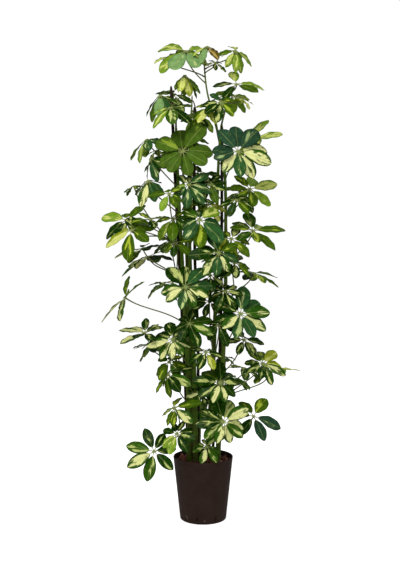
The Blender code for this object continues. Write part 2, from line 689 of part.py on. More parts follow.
def leaf_shell(form, swell=0.0):
    """Return the points of a leaf's closed surface, its faces, and those of blades and petiole."""
    verts = []
    plan = form.plan
    count = len(plan)
    turns = [item[0] for item in plan]
    rim = []
    for index in range(count):
        before = turns[index - 1] - (2 * math.pi if index == 0 else 0.0)
        middle = (before + turns[index]) / 2
        rim.append(len(verts))
        verts.append(form.hub + (form.ahead * math.cos(middle) + form.across * math.sin(middle)) * HUB_RADIUS)
    under = []
    for item in plan:
        level = form.ahead * math.cos(item[0]) + form.across * math.sin(item[0])
        under.append(len(verts))
        verts.append(form.hub + level * (0.85 * HUB_RADIUS) - form.axis * HUB_DEPTH)
    faces = [tuple(rim)]
    blades = []
    plain = form.leaf.reach < PLAIN_REACH or abs(form.leaf.facing) > PLAIN_FACING
    shares = PLAIN_STATIONS if plain else BLADE_STATIONS
    for index, item in enumerate(plan):
        after = (index + 1) % count
        faces.append((under[index], rim[after], under[after]))
        free = item[3] - HUB_RADIUS
        stalk = STALK_SHARE * item[3]
        blade = free - stalk
        width = form.leaf.aspect * blade
        stations = [(stalk, STALK_WIDTH)] + [(stalk + at * blade, part * width) for at, part in shares]
        section = (rim[index], rim[after], under[index])
        for place, (distance, wide) in enumerate(stations):
            point, heading, upper = form.spine(item, distance)
            side = upper.cross(heading)
            base = len(verts)
            verts.append(point - side * (wide / 2 + swell) + upper * swell)
            verts.append(point + side * (wide / 2 + swell) + upper * swell)
            verts.append(point - upper * (BLADE_KEEL + swell))
            ring = (base, base + 1, base + 2)
            quads = [(section[k], ring[k], ring[(k + 1) % 3], section[(k + 1) % 3]) for k in range(3)]
            faces.extend(quads)
            if place:
                blades.extend(quads)
            section = ring
        point, heading, _ = form.spine(item, free)
        tip = len(verts)
        verts.append(point + heading * swell)
        caps = [(section[k], tip, section[(k + 1) % 3]) for k in range(3)]
        faces.extend(caps)
        blades.extend(caps)
    stalk_faces = petiole_shell(form, swell, verts, faces, under)
    return verts, faces, blades, stalk_faces


def petiole_shell(form, swell, verts, faces, under):
    """Add the petiole's tube to a leaf, from its foot cap to the ring under the hub."""
    path = form.petiole(PETIOLE_RINGS)
    side = form.out.cross(UP)
    rings = []
    for index, point in enumerate(path):
        if index == 0:
            heading = form.out
        elif index == len(path) - 1:
            heading = form.axis
        else:
            heading = (path[index + 1] - path[index - 1]).normalized()
        radius = PETIOLE_RADIUS + (swell if index else 0.0)
        points, side = ring_about(point, heading, side, radius, PETIOLE_SIDES)
        rings.append(list(range(len(verts), len(verts) + PETIOLE_SIDES)))
        verts.extend(points)
    tube = []
    for low, high in zip(rings, rings[1:]):
        for k in range(PETIOLE_SIDES):
            after = (k + 1) % PETIOLE_SIDES
            tube.append((low[k], low[after], high[after], high[k]))
    faces.extend(tube)
    faces.append(tuple(rings[0]))
    outer = [(item[0], index) for item, index in zip(form.plan, under)]
    inner = []
    for index in rings[-1]:
        arm = verts[index] - path[-1]
        inner.append((math.atan2(arm.dot(form.across), arm.dot(form.ahead)), index))
    faces.extend(stitch(outer, sorted(inner)))
    return tube


class Crowd:
    """The solids placed so far, which a new leaf has to stay clear of."""

    def __init__(self):
        self.trees = {}

    def add(self, name, verts, faces):
        """Add a solid under a name."""
        self.trees[name] = BVHTree.FromPolygons(verts, faces)

    def touches(self, verts, faces, ignored):
        """Say whether a solid touches one of the others."""
        tree = BVHTree.FromPolygons(verts, faces)
        return any(tree.overlap(other) for name, other in self.trees.items() if name not in ignored)


def place_leaf(leaf, seed, paths, trees, shoots, crowd):
    """Return a leaf's shell at the first step where it is clear of everything placed before it."""
    on_shoot = leaf.carrier in shoots
    for depth, start in sorted(
        ((d, s) for d in DEPTH_STEPS for s in START_STEPS), key=lambda pair: abs(pair[0]) + 1.5 * abs(pair[1])
    ):
        hub = Vector((leaf.side, leaf.depth + depth, leaf.height)) * MM
        if on_shoot:
            root = point_at(inner_path(shoots[leaf.carrier][0]), (leaf.start + start) * MM)
        else:
            root = point_at(paths[leaf.carrier], (leaf.start + start) * MM)
        out = Vector((hub.x - root.x, hub.y - root.y, 0.0)).normalized()
        foot = root if on_shoot else seat_on(trees["stem_" + leaf.carrier], root, out, PETIOLE_RADIUS)
        form = LeafForm(leaf, seed, hub, foot, out)
        verts, faces, blades, tube = leaf_shell(form, TEST_SWELL)
        if crowd.touches(verts, faces, {leaf.carrier}):
            continue
        if BVHTree.FromPolygons(verts, blades).overlap(BVHTree.FromPolygons(verts, tube)):
            continue
        return leaf_shell(form)[:2]
    raise RuntimeError(f"no clear place for {leaf}")


def join_spray(name, shoot, shells, mat, group):
    """Fuse the leaves of one shoot with it, by MANIFOLD, because EXACT leaves slivers at the roots."""
    path, radii = shoot
    ob = new_object(name, tube_mesh(name, path, radii, SHOOT_RESOLUTION), mat, group)
    pieces = new_collection(name + "_leaves")
    for index, (verts, faces) in enumerate(shells):
        new_object(f"{name}_{index}", mesh_from(f"{name}_{index}", verts, faces), None, pieces)
    modifier = add_boolean(ob, pieces, "UNION", solver="MANIFOLD")
    bpy.context.view_layer.update()
    joined = evaluated_mesh(ob)
    ob.modifiers.remove(modifier)
    ob.data = joined
    joined.name = name
    joined.materials.clear()
    joined.materials.append(mat)
    for piece in list(pieces.objects):
        bpy.data.objects.remove(piece, do_unlink=True)
    bpy.data.collections.remove(pieces)
    return ob


def make_foliage(mats, group, paths):
    """Make the crowns, the sprays and the leaves that grow straight from a stem."""
    trees = {}
    crowd = Crowd()
    for ob in group.objects:
        mesh = evaluated_mesh(ob)
        trees[ob.name] = tree_of(mesh)
        crowd.trees[ob.name] = trees[ob.name]
    shoots = make_shoots(paths, trees)
    for name, (path, radii) in shoots.items():
        mesh = tube_mesh(name + "_test", path, radii, SHOOT_RESOLUTION)
        crowd.trees[name] = tree_of(mesh)
        bpy.data.meshes.remove(mesh)
    held = {name: [] for name in shoots}
    number = 0
    for seed, leaf in enumerate(LEAVES + tuple(back_leaves())):
        shell = place_leaf(leaf, seed, paths, trees, shoots, crowd)
        crowd.add(f"{leaf.carrier}_{seed}", *shell)
        if leaf.carrier in shoots:
            held[leaf.carrier].append(shell)
            continue
        number += 1
        name = f"leaf_{number:02d}"
        new_object(name, mesh_from(name, *shell), mats["leaf"], group)
    for name, shells in held.items():
        mat = mats["young_leaf"] if name in CROWNS else mats["leaf"]
        join_spray(name, shoots[name], shells, mat, group)


def main():
    """Build every piece of the potted tree."""
    clear_scene()
    group = new_collection("potted_umbrella_tree")
    cutters = new_collection("cutters")
    mats = {
        "pot": new_material("pot", (0.026, 0.016, 0.013), 0.55),
        "pebbles": new_material("pebbles", (0.20, 0.055, 0.025), 0.9),
        "stake": new_material("stake", (0.022, 0.016, 0.010), 0.7),
        "bark": new_material("bark", (0.10, 0.12, 0.03), 0.7),
        "tie": new_material("tie", (0.02, 0.03, 0.015), 0.6),
        "leaf": new_material("leaf", (0.07, 0.17, 0.03), 0.4),
        "young_leaf": new_material("young_leaf", (0.20, 0.30, 0.05), 0.4),
    }
    paths = make_rods(mats, group)
    make_ties(mats, group, paths)
    rods = {}
    for name, path in paths.items():
        stake = name in STAKES
        radius = STAKE_RADIUS if stake else STEM_RADII[0]
        rods[name] = (path[0], radius, STAKE_DEPTH_LEVEL if stake else STEM_DEPTH_LEVEL)
    make_pot(mats["pot"], group, cutters)
    make_pebbles(mats["pebbles"], group, cutters, rods)
    make_foliage(mats, group, paths)


main()
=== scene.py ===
"""Looks of a potted variegated dwarf umbrella tree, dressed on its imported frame.

The classes Pot, PebbleBed, Framework, Ties and Foliage make one sub-assembly each. Lengths are
metres, but the tables from STAKES to LEAVES hold millimetres. +Z is up and the viewer looks along
+Y.
"""

import logging
import math
import random
from dataclasses import dataclass, field
from enum import Enum
from typing import Any, Iterable, NamedTuple

import bmesh
import bpy
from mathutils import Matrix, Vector
from mathutils.bvhtree import BVHTree
from mathutils.kdtree import KDTree


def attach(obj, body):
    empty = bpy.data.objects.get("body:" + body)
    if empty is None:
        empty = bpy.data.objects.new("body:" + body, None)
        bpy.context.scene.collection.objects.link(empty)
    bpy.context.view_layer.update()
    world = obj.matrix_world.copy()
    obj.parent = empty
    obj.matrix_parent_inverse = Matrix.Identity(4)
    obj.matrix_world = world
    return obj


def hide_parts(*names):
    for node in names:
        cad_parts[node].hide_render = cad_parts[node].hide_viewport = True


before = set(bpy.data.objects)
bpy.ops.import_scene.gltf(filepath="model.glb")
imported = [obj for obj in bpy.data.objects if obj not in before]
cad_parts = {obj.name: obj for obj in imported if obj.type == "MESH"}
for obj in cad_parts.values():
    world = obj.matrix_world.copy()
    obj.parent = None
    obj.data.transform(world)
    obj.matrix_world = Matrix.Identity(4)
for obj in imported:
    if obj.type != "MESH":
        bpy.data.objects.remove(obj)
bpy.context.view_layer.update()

LOG = logging.getLogger("umbrella_tree")
MM = 0.001
UP = Vector((0.0, 0.0, 1.0))
LEVEL = Vector((1.0, 1.0, 0.0))
MERGE_DISTANCE = 0.01 * MM
ROOT = "root"
HELPERS = ("hub", "level", "axis", "bend", "form", "sway")
Span = tuple[float, float]
Triple = tuple[float, float, float]
Colour = Triple
Path = list[Vector]


class Tone(Enum):
    """The looks of a leaflet: its green, its splash and how much of it is splashed."""

    DARK = ((0.006, 0.034, 0.001), (0.53, 0.60, 0.18), 0.21)
    MID = ((0.028, 0.096, 0.003), (0.56, 0.64, 0.20), 0.30)
    # The next two greens carry a painted bluish sheen: the grey-blue of a reflection is mixed into the leaf
    # colour.
    BLUISH = ((0.024, 0.088, 0.022), (0.52, 0.62, 0.23), 0.20)
    SAGE = ((0.190, 0.340, 0.112), (0.46, 0.60, 0.22), 0.14)
    OLIVE = ((0.055, 0.120, 0.003), (0.44, 0.54, 0.04), 0.22)
    PLAIN = ((0.062, 0.125, 0.010), (0.24, 0.34, 0.03), 0.05)
    # This green carries a painted bluish sheen, the tint of a reflection mixed into a dark leaf colour.
    TEAL = ((0.020, 0.062, 0.030), (0.30, 0.42, 0.16), 0.03)
    LIME = ((0.185, 0.325, 0.020), (0.66, 0.73, 0.18), 0.38)
    YELLOW = ((0.330, 0.400, 0.018), (0.72, 0.76, 0.20), 0.48)
    CREAM = ((0.022, 0.085, 0.004), (0.79, 0.81, 0.33), 0.48)
    BRONZE = ((0.150, 0.095, 0.012), (0.50, 0.36, 0.10), 0.35)

    @property
    def green(self) -> Colour:
        """The colour of the unsplashed blade; some tones mix a painted bluish sheen into it."""
        return self.value[0]

    @property
    def splash(self) -> Colour:
        """The colour of the splashes."""
        return self.value[1]

    @property
    def share(self) -> float:
        """How much of the blade is splashed, from 0 to 1."""
        return self.value[2]


class Compass(Enum):
    """Where a leaflet points, as the viewer sees it, in degrees anticlockwise from the right."""

    E = 0
    NE = 45
    N = 90
    NW = 135
    W = 180
    SW = 225
    S = 270
    SE = 315


class Leaf(NamedTuple):
    """A compound leaf: its seat, its hub, its stance and its tones.

    The hub (side, depth, height) and the height that its petiole starts at are in millimetres. The
    leaf leans from level towards a facing in degrees, 0 the front and 90 the right. Its reach is
    the millimetres of its longest leaflet and droop the degrees that its leaflets hang by. The
    accents are tones with the ways that their leaflets point. The aspect is how wide a blade is
    for its length.
    """

    carrier: str
    side: float
    depth: float
    height: float
    start: float
    lean: float
    facing: float
    reach: float
    blades: int
    droop: float
    tone: str = "DARK"
    accents: str = ""
    aspect: float = 0.50


STAKES: dict[str, tuple] = {
    "stake_left": ((-45, 12, 170), (-55, 8, 420), (-65, 4, 645), (-80, 2, 945), (-95, 0, 1295)),
    "stake_middle": ((-10, 6, 170), (-15, 6, 360), (-15, 6, 570), (-27, 6, 800), (-26, 6, 1235)),
    "stake_right": ((27, 12, 170), (42, 12, 360), (51, 10, 510), (55, 8, 690), (56, 6, 1180)),
}
STEMS: dict[str, tuple] = {
    "left": (
        (-40, -12, 175), (-42, -12, 300), (-45, -12, 425), (-50, -14, 545), (-56, -14, 665),
        (-64, -14, 810), (-71, -14, 945), (-77, -14, 1080), (-80, -14, 1170),
    ),
    "middle": (
        (-22, -20, 175), (-24, -20, 305), (-26, -18, 425), (-31, -14, 545), (-36, -12, 665),
        (-40, -12, 810), (-42, -12, 960), (-40, -12, 1105), (-36, -12, 1200),
    ),
    "tall": (
        (44, -10, 175), (50, -10, 300), (57, -12, 455), (64, -12, 575), (67, -12, 695),
        (67, -12, 870), (66, -14, 1020), (57, -18, 1090), (46, -20, 1140), (34, -20, 1195),
    ),
    "back_right": (
        (14, 36, 175), (24, 36, 355), (33, 36, 505), (38, 34, 660), (40, 32, 810),
        (42, 30, 960), (47, 28, 1110), (55, 26, 1185),
    ),
    "back_left": (
        (-30, 32, 175), (-32, 34, 355), (-38, 34, 505), (-45, 32, 660), (-50, 30, 810),
        (-55, 28, 915), (-60, 28, 1030),
    ),
}
TIES: dict[str, tuple[str, str, float]] = {
    "tie_left": ("stake_left", "left", 655),
    "tie_middle": ("stake_middle", "middle", 480),
    "tie_right": ("stake_right", "tall", 600),
}
CROWNS: dict[str, tuple] = {
    "crown_tall": ("tall", ((20, -18, 1240), (10, -16, 1280), (4, -14, 1335), (2, -12, 1370))),
    "crown_left": ("left", ((-80, -12, 1210), (-78, -10, 1255))),
    "crown_middle": ("middle", ((-34, -10, 1230), (-33, -8, 1258))),
    "crown_right": ("back_right", ((65, 24, 1225), (75, 22, 1260))),
    "crown_back": ("back_left", ((-61, 32, 1070), (-64, 38, 1115))),
}
SPRAYS: dict[str, tuple] = {
    "spray_upper_left": ("left", 1040, (-105, -14, 1075)),
    "spray_upper_right": ("back_right", 880, (75, 38, 920)),
    "spray_mid_left": ("left", 815, (-105, -26, 850)),
    "spray_left": ("left", 715, (-92, -14, 745)),
    "spray_mid_right": ("tall", 660, (95, -20, 690)),
    "spray_low_left": ("back_left", 440, (-80, 28, 475)),
    "spray_low_right": ("back_right", 330, (65, 34, 365)),
    "spray_low_middle": ("back_right", 480, (38, 0, 510)),
    "spray_base_left": ("left", 240, (-60, -34, 262)),
    "spray_base_middle": ("middle", 208, (-8, -40, 232)),
}
LEAVES: tuple[Leaf, ...] = (
    Leaf("crown_tall", -50, -25, 1392, 1300, 36, 5, 108, 7, 10, "LIME", "LIME W, SAGE SE S SW", 0.66),
    Leaf("crown_tall", 11, -25, 1400, 1365, 25, 0, 64, 7, 28, "LIME", "BRONZE E SE NE, SAGE S SW"),
    Leaf("crown_tall", 95, -5, 1396, 1355, 52, 20, 84, 8, 34, "LIME", "OLIVE W NW", 0.46),
    Leaf(
        "crown_tall", 97, -20, 1298, 1245, 38, 0, 104, 5, 0, "OLIVE",
        "LIME N E, OLIVE SE, DARK W SW", 0.42,
    ),
    Leaf("crown_tall", 12, -70, 1222, 1210, 45, -10, 62, 7, 14, "YELLOW", "OLIVE W, MID N"),
    Leaf("crown_right", 112, 15, 1262, 1245, 20, 60, 50, 6, 10, "YELLOW"),
    Leaf("crown_right", 50, -60, 1236, 1220, 52, 10, 66, 8, 8, "DARK", "OLIVE E SE, BLUISH NW"),
    Leaf("crown_right", 90, 100, 1285, 1230, 28, 150, 78, 7, 20, "LIME"),
    Leaf("crown_left", -54, -20, 1322, 1250, 14, 0, 80, 9, 48, "LIME", "OLIVE S E, YELLOW SE SW", 0.48),
    Leaf("crown_left", -126, -15, 1262, 1210, 22, -35, 84, 8, 42, "SAGE", "OLIVE W, MID E, BLUISH SE"),
    Leaf("crown_left", -94, -60, 1217, 1185, 32, -20, 84, 7, 12, "MID", "LIME SW W, DARK E SE"),
    Leaf("crown_left", -90, 90, 1285, 1225, 28, 170, 80, 7, 22, "MID"),
    Leaf("crown_middle", -22, -55, 1197, 1222, 35, 0, 56, 6, 14, "DARK", "OLIVE S"),
    Leaf("crown_middle", -10, 115, 1225, 1235, 30, 165, 76, 7, 20, "LIME"),
    Leaf("crown_back", -95, 120, 1140, 1085, 30, -150, 80, 7, 20, "MID"),
    Leaf("crown_back", -35, 130, 1155, 1075, 30, 165, 80, 7, 20, "OLIVE"),
    Leaf("crown_back", -135, 60, 1095, 1050, 30, -110, 72, 6, 20, "DARK"),
    Leaf("middle", -58, -115, 1094, 1040, 66, -10, 106, 8, 4, "PLAIN", aspect=0.60),
    Leaf("tall", 98, -125, 1092, 1025, 64, 8, 110, 10, 2, "BLUISH", "TEAL N NE NW W, CREAM E SE SW", 0.52),
    Leaf("back_right", 138, 45, 1138, 1070, 34, -50, 114, 6, -6, "LIME"),
    Leaf("spray_upper_left", -167, -20, 1136, 1070, 28, -70, 86, 7, 22, "BLUISH", "LIME W SW"),
    Leaf("spray_upper_left", -138, 25, 1108, 1065, 25, -30, 50, 6, 22, "LIME"),
    Leaf("spray_mid_left", -207, 20, 1003, 845, 15, -80, 46, 5, 14, "OLIVE"),
    Leaf("left", -152, -60, 1078, 1000, 45, -70, 80, 6, 38, "DARK", "BLUISH SW"),
    Leaf("left", -158, -80, 1012, 920, 38, -12, 88, 8, 42, "BLUISH", "CREAM W SW, OLIVE N"),
    Leaf("middle", -42, -110, 1000, 935, 52, -8, 80, 8, 10, "BLUISH", "LIME W, CREAM NW, DARK N"),
    Leaf("tall", 18, -85, 1003, 950, 50, -15, 78, 8, 12, "DARK", "OLIVE S"),
    Leaf("middle", 12, -60, 945, 880, 40, 15, 68, 7, 14, "OLIVE", "YELLOW S E"),
    Leaf("spray_upper_right", 138, -15, 992, 915, 50, 15, 90, 7, 0, "OLIVE", "LIME E NE"),
    Leaf("spray_upper_right", 95, -40, 958, 905, 40, 0, 64, 7, 14, "DARK", "OLIVE SE"),
    Leaf("spray_upper_right", 115, 110, 990, 912, 30, 150, 80, 6, 18, "MID"),
    Leaf("spray_mid_left", -228, -5, 902, 845, 45, -20, 98, 7, 6, "OLIVE", "LIME W NW, DARK SW"),
    Leaf("spray_mid_left", -204, -60, 872, 840, 45, -20, 98, 7, 12, "OLIVE", "LIME NW, YELLOW W, DARK N"),
    Leaf("spray_left", -178, -35, 818, 742, 20, -60, 92, 7, -4, "DARK", "CREAM W, OLIVE SW"),
    Leaf("spray_left", -165, 40, 792, 735, 20, -80, 112, 7, 4, "CREAM", "DARK E NE N"),
    Leaf("left", -86, -85, 904, 860, 40, -18, 82, 7, 12, "OLIVE", "LIME SW, MID E"),
    Leaf("middle", -10, -125, 900, 825, 55, 4, 92, 8, 14, "BLUISH", "OLIVE S, LIME NE, MID NW", 0.58),
    Leaf("tall", 43, -135, 806, 715, 60, 5, 92, 9, 8, "BLUISH", "CREAM SW SE, OLIVE NE, DARK W"),
    Leaf("middle", -50, -140, 710, 615, 60, -6, 98, 9, 8, "BLUISH", "DARK NW N, CREAM W SE"),
    Leaf("tall", 146, -30, 870, 775, 32, 20, 104, 8, -6, "OLIVE", "MID NW SW, LIME NE"),
    Leaf("tall", 82, -85, 846, 790, 45, 10, 80, 7, 10, "OLIVE", "CREAM W SW, DARK N"),
    Leaf("spray_mid_right", 92, -55, 777, 688, 38, 30, 84, 7, 6, "OLIVE", "DARK W S"),
    Leaf("spray_mid_right", 150, 10, 744, 680, 14, 60, 98, 7, 4, "OLIVE", "DARK W SW"),
    Leaf("spray_mid_right", 62, -85, 694, 684, 48, -15, 70, 7, 12, "DARK"),
    Leaf("left", -232, -10, 670, 595, 54, -80, 114, 6, -10, "CREAM", "OLIVE NE", 0.46),
    Leaf("spray_low_left", -172, -50, 570, 470, 20, -30, 90, 9, -16, "DARK", "CREAM W NW, MID S", 0.44),
    Leaf("spray_low_left", -155, 26, 526, 460, 4, -85, 74, 6, 0, "DARK", "OLIVE W"),
    Leaf("middle", -88, -100, 557, 455, 50, -12, 86, 9, 10, "CREAM", "DARK N NE NW"),
    Leaf("left", -40, -70, 602, 540, 48, -10, 82, 7, 12, "DARK", "MID E"),
    Leaf("left", -104, -60, 450, 360, 42, -60, 86, 9, 26, "DARK", "MID NW E, OLIVE SW", 0.46),
    Leaf("spray_base_left", -84, -80, 352, 258, 40, -45, 86, 8, 14, "OLIVE", "CREAM SE, MID W", 0.46),
    Leaf("spray_base_left", -77, -75, 282, 254, 50, -20, 68, 8, 4, "DARK", "CREAM S, LIME SW"),
    Leaf("left", -144, -90, 226, 240, 64, 0, 98, 7, -2, "DARK", "MID W S, CREAM SW", 0.46),
    Leaf("tall", 107, -120, 630, 525, 56, 12, 106, 10, 4, "BLUISH", "CREAM E SW, DARK NW W"),
    Leaf("tall", 120, -35, 547, 450, 35, 20, 78, 8, 10, "DARK", "MID NE"),
    Leaf(
        "spray_low_right", 178, -20, 474, 362, 40, 20, 84, 9, 0, "OLIVE",
        "DARK W SW, YELLOW E NE, CREAM SE",
    ),
    Leaf("spray_low_right", 198, 25, 440, 356, 12, -80, 108, 5, -4, "OLIVE", "LIME E"),
    Leaf("spray_low_right", 72, 20, 484, 360, 20, 60, 50, 6, 8, "MID"),
    Leaf("spray_low_middle", 45, -75, 596, 508, 42, -5, 76, 7, 14, "DARK", "OLIVE S"),
    Leaf("spray_low_middle", 7, -105, 520, 488, 35, 5, 66, 7, 12, "DARK", "YELLOW SE"),
    Leaf("tall", 50, -100, 430, 335, 50, 10, 88, 9, 10, "DARK", "CREAM S, OLIVE NW"),
    Leaf("tall", 150, -35, 318, 240, 45, 18, 104, 6, 4, "DARK", "OLIVE N NE, TEAL E SE", 0.46),
    Leaf("tall", 57, -115, 322, 230, 58, 5, 100, 10, 8, "MID", "CREAM E S, DARK W NW"),
    Leaf("spray_base_middle", 10, -70, 236, 228, 40, 10, 60, 7, 12, "MID", "CREAM S"),
    Leaf("spray_base_middle", -6, -75, 392, 230, 45, 8, 58, 7, 14, "DARK", "CREAM W"),
    Leaf("spray_mid_right", 20, -80, 740, 686, 45, 0, 74, 7, 12, "DARK"),
    Leaf("spray_left", -80, -95, 835, 742, 40, -20, 64, 7, 12, "OLIVE", "DARK S"),
    Leaf("spray_left", -105, 105, 840, 736, 30, -150, 80, 6, 10, "MID"),
    Leaf("spray_low_left", -82, 98, 560, 468, 30, -150, 76, 7, 16, "DARK"),
    Leaf("spray_low_right", 90, 80, 420, 360, 30, 150, 80, 6, 14, "MID"),
    Leaf("crown_tall", -102, 12, 1384, 1318, 35, -30, 52, 6, 14, "YELLOW", "LIME W, CREAM S", 0.60),
    Leaf("crown_tall", 34, -30, 1356, 1330, 35, 20, 44, 5, 12, "DARK"),
    Leaf("crown_back", -2, 80, 1045, 1085, 40, 10, 72, 7, 10, "DARK"),
    Leaf("spray_mid_left", -96, -75, 972, 846, 45, 0, 70, 6, 16, "OLIVE", "LIME SW, YELLOW S"),
    Leaf("spray_low_middle", 18, -45, 663, 500, 45, 0, 70, 7, 12, "DARK"),
    Leaf("spray_low_left", -100, -60, 484, 462, 45, -25, 68, 7, 14, "OLIVE", "DARK S, MID SE"),
    Leaf("spray_mid_left", -152, -45, 901, 842, 15, -10, 66, 7, -12, "DARK", "LIME NW, OLIVE W"),
)


def find_socket(sockets: Iterable[bpy.types.NodeSocket], key: str | int) -> bpy.types.NodeSocket:
    """Find a node's socket.

    Args:
        sockets: The node's inputs or outputs.
        key: The socket's identifier, its name or its place in the row.

    Returns:
        The socket.
    """
    row = list(sockets)
    if isinstance(key, int):
        return row[key]
    for socket in row:
        if socket.identifier == key:
            return socket
    return next(socket for socket in row if socket.name == key)


def plug(tree: bpy.types.NodeTree, socket: bpy.types.NodeSocket, value: Any) -> None:
    """Feed an input with a wire or a constant.

    Args:
        tree: The tree that the socket is in.
        socket: The input.
        value: A Wire, a number, a colour, a vector or a material.
    """
    if isinstance(value, Wire):
        tree.links.new(value.socket, socket)
    elif socket.type == "RGBA" and len(value) == 3:
        socket.default_value = (*value, 1.0)
    else:
        socket.default_value = value


def node(
    tree: bpy.types.NodeTree, kind: str, feeds: dict | None = None, out: str | int = 0, **settings: Any
) -> "Wire":
    """Add a node to a tree.

    Args:
        tree: The tree.
        kind: The node's type name.
        feeds: What goes into which input.
        out: The output that is wanted.
        settings: The node's own properties.

    Returns:
        The wanted output.
    """
    made = tree.nodes.new(kind)
    for name, value in settings.items():
        setattr(made, name, value)
    for key, value in (feeds or {}).items():
        plug(tree, find_socket(made.inputs, key), value)
    return Wire(tree, find_socket(made.outputs, out))


class Wire:
    """What flows out of a node: a number, vector, colour or geometry, with the usual operators."""

    def __init__(self, tree: bpy.types.NodeTree, socket: bpy.types.NodeSocket) -> None:
        """Hold an output socket of a tree."""
        self.tree = tree
        self.socket = socket

    def math(self, operation: str, *others: Any) -> "Wire":
        """Put the wire first in a Math node and return the result."""
        return node(self.tree, "ShaderNodeMath", dict(enumerate((self, *others))), operation=operation)

    def arrow(self, operation: str, *others: Any, out: str | int = 0) -> "Wire":
        """Put the wire first in a Vector Math node and return the result."""
        feeds = dict(enumerate((self, *others)))
        return node(self.tree, "ShaderNodeVectorMath", feeds, out, operation=operation)

    def scaled(self, factor: Any) -> "Wire":
        """Return the vector times a number."""
        return node(self.tree, "ShaderNodeVectorMath", {0: self, "Scale": factor}, operation="SCALE")

    @staticmethod
    def is_vector(value: Any) -> bool:
        """Tell a vector or colour from a single number, in a wire or a constant."""
        kind = value.socket.type if isinstance(value, Wire) else type(value)
        return kind in ("VECTOR", "RGBA", tuple)

    def _pair(self, operation: str, other: Any, flipped: bool = False) -> "Wire":
        """Join two operands in the node that suits their kinds.

        Args:
            operation: ADD, SUBTRACT, MULTIPLY or DIVIDE.
            other: The second operand.
            flipped: Whether the other operand comes first.

        Returns:
            The result.
        """
        here = self.is_vector(self)
        there = self.is_vector(other)
        if operation == "MULTIPLY" and here != there:
            return self.scaled(other) if here else other.scaled(self)
        kind = "ShaderNodeVectorMath" if here or there else "ShaderNodeMath"
        pair = (other, self) if flipped else (self, other)
        return node(self.tree, kind, dict(enumerate(pair)), operation=operation)

    def __add__(self, other: Any) -> "Wire":
        """Add."""
        return self._pair("ADD", other)

    def __sub__(self, other: Any) -> "Wire":
        """Subtract."""
        return self._pair("SUBTRACT", other)

    def __rsub__(self, other: Any) -> "Wire":
        """Subtract from something."""
        return self._pair("SUBTRACT", other, True)

    def __mul__(self, other: Any) -> "Wire":
        """Multiply."""
        return self._pair("MULTIPLY", other)

    def __rmul__(self, other: Any) -> "Wire":
        """Multiply from the left."""
        return self._pair("MULTIPLY", other, True)

    def __truediv__(self, other: Any) -> "Wire":
        """Divide."""
        return self._pair("DIVIDE", other)

    def parts(self) -> tuple["Wire", "Wire", "Wire"]:
        """Take a vector apart.

        Returns:
            Its three numbers.
        """
        split = self.tree.nodes.new("ShaderNodeSeparateXYZ")
        plug(self.tree, split.inputs[0], self)
        return tuple(Wire(self.tree, out) for out in split.outputs)

    def ramp(self, low: Any, high: Any) -> "Wire":
        """Return 0 under low, 1 over high and a soft step between them."""
        feeds = {"Value": self, "From Min": low, "From Max": high}
        return node(self.tree, "ShaderNodeMapRange", feeds, "Result", interpolation_type="SMOOTHSTEP")


def bundle(x: Any, y: Any, z: Any) -> Wire:
    """Return a vector of three numbers, at least one of them a wire."""
    tree = next(part.tree for part in (x, y, z) if isinstance(part, Wire))
    return node(tree, "ShaderNodeCombineXYZ", {0: x, 1: y, 2: z})


def noise(place: Wire, scale: Any, detail: float = 2.0, roughness: float = 0.5) -> Wire:
    """Return a noise between 0 and 1 over a vector."""
    feeds = {"Vector": place, "Scale": scale, "Detail": detail, "Roughness": roughness}
    return node(place.tree, "ShaderNodeTexNoise", feeds, 0)


Surface = tuple[Wire, Wire, Wire]


class Group:
    """A node tree with named inputs."""

    KINDS = {float: "Float", int: "Int"}

    def __init__(self, name: str, kind: str, inputs: dict[str, float | int | str]) -> None:
        """Open the tree.

        Args:
            name: The tree's name.
            kind: The tree's type.
            inputs: Its inputs, each a number's default or another socket's kind.
        """
        self.tree = bpy.data.node_groups.new(name, kind)
        self.keys: dict[str, str] = {}
        for label, value in inputs.items():
            sort = value if isinstance(value, str) else self.KINDS[type(value)]
            socket = self.tree.interface.new_socket(label, in_out="INPUT", socket_type="NodeSocket" + sort)
            if sort is not value:
                socket.default_value = value
            self.keys[label] = socket.identifier
        self.entry = self.tree.nodes.new("NodeGroupInput")
        self.leave = self.tree.nodes.new("NodeGroupOutput")

    def given(self, label: str) -> Wire:
        """Return one of the tree's inputs."""
        return Wire(self.tree, self.entry.outputs[label])


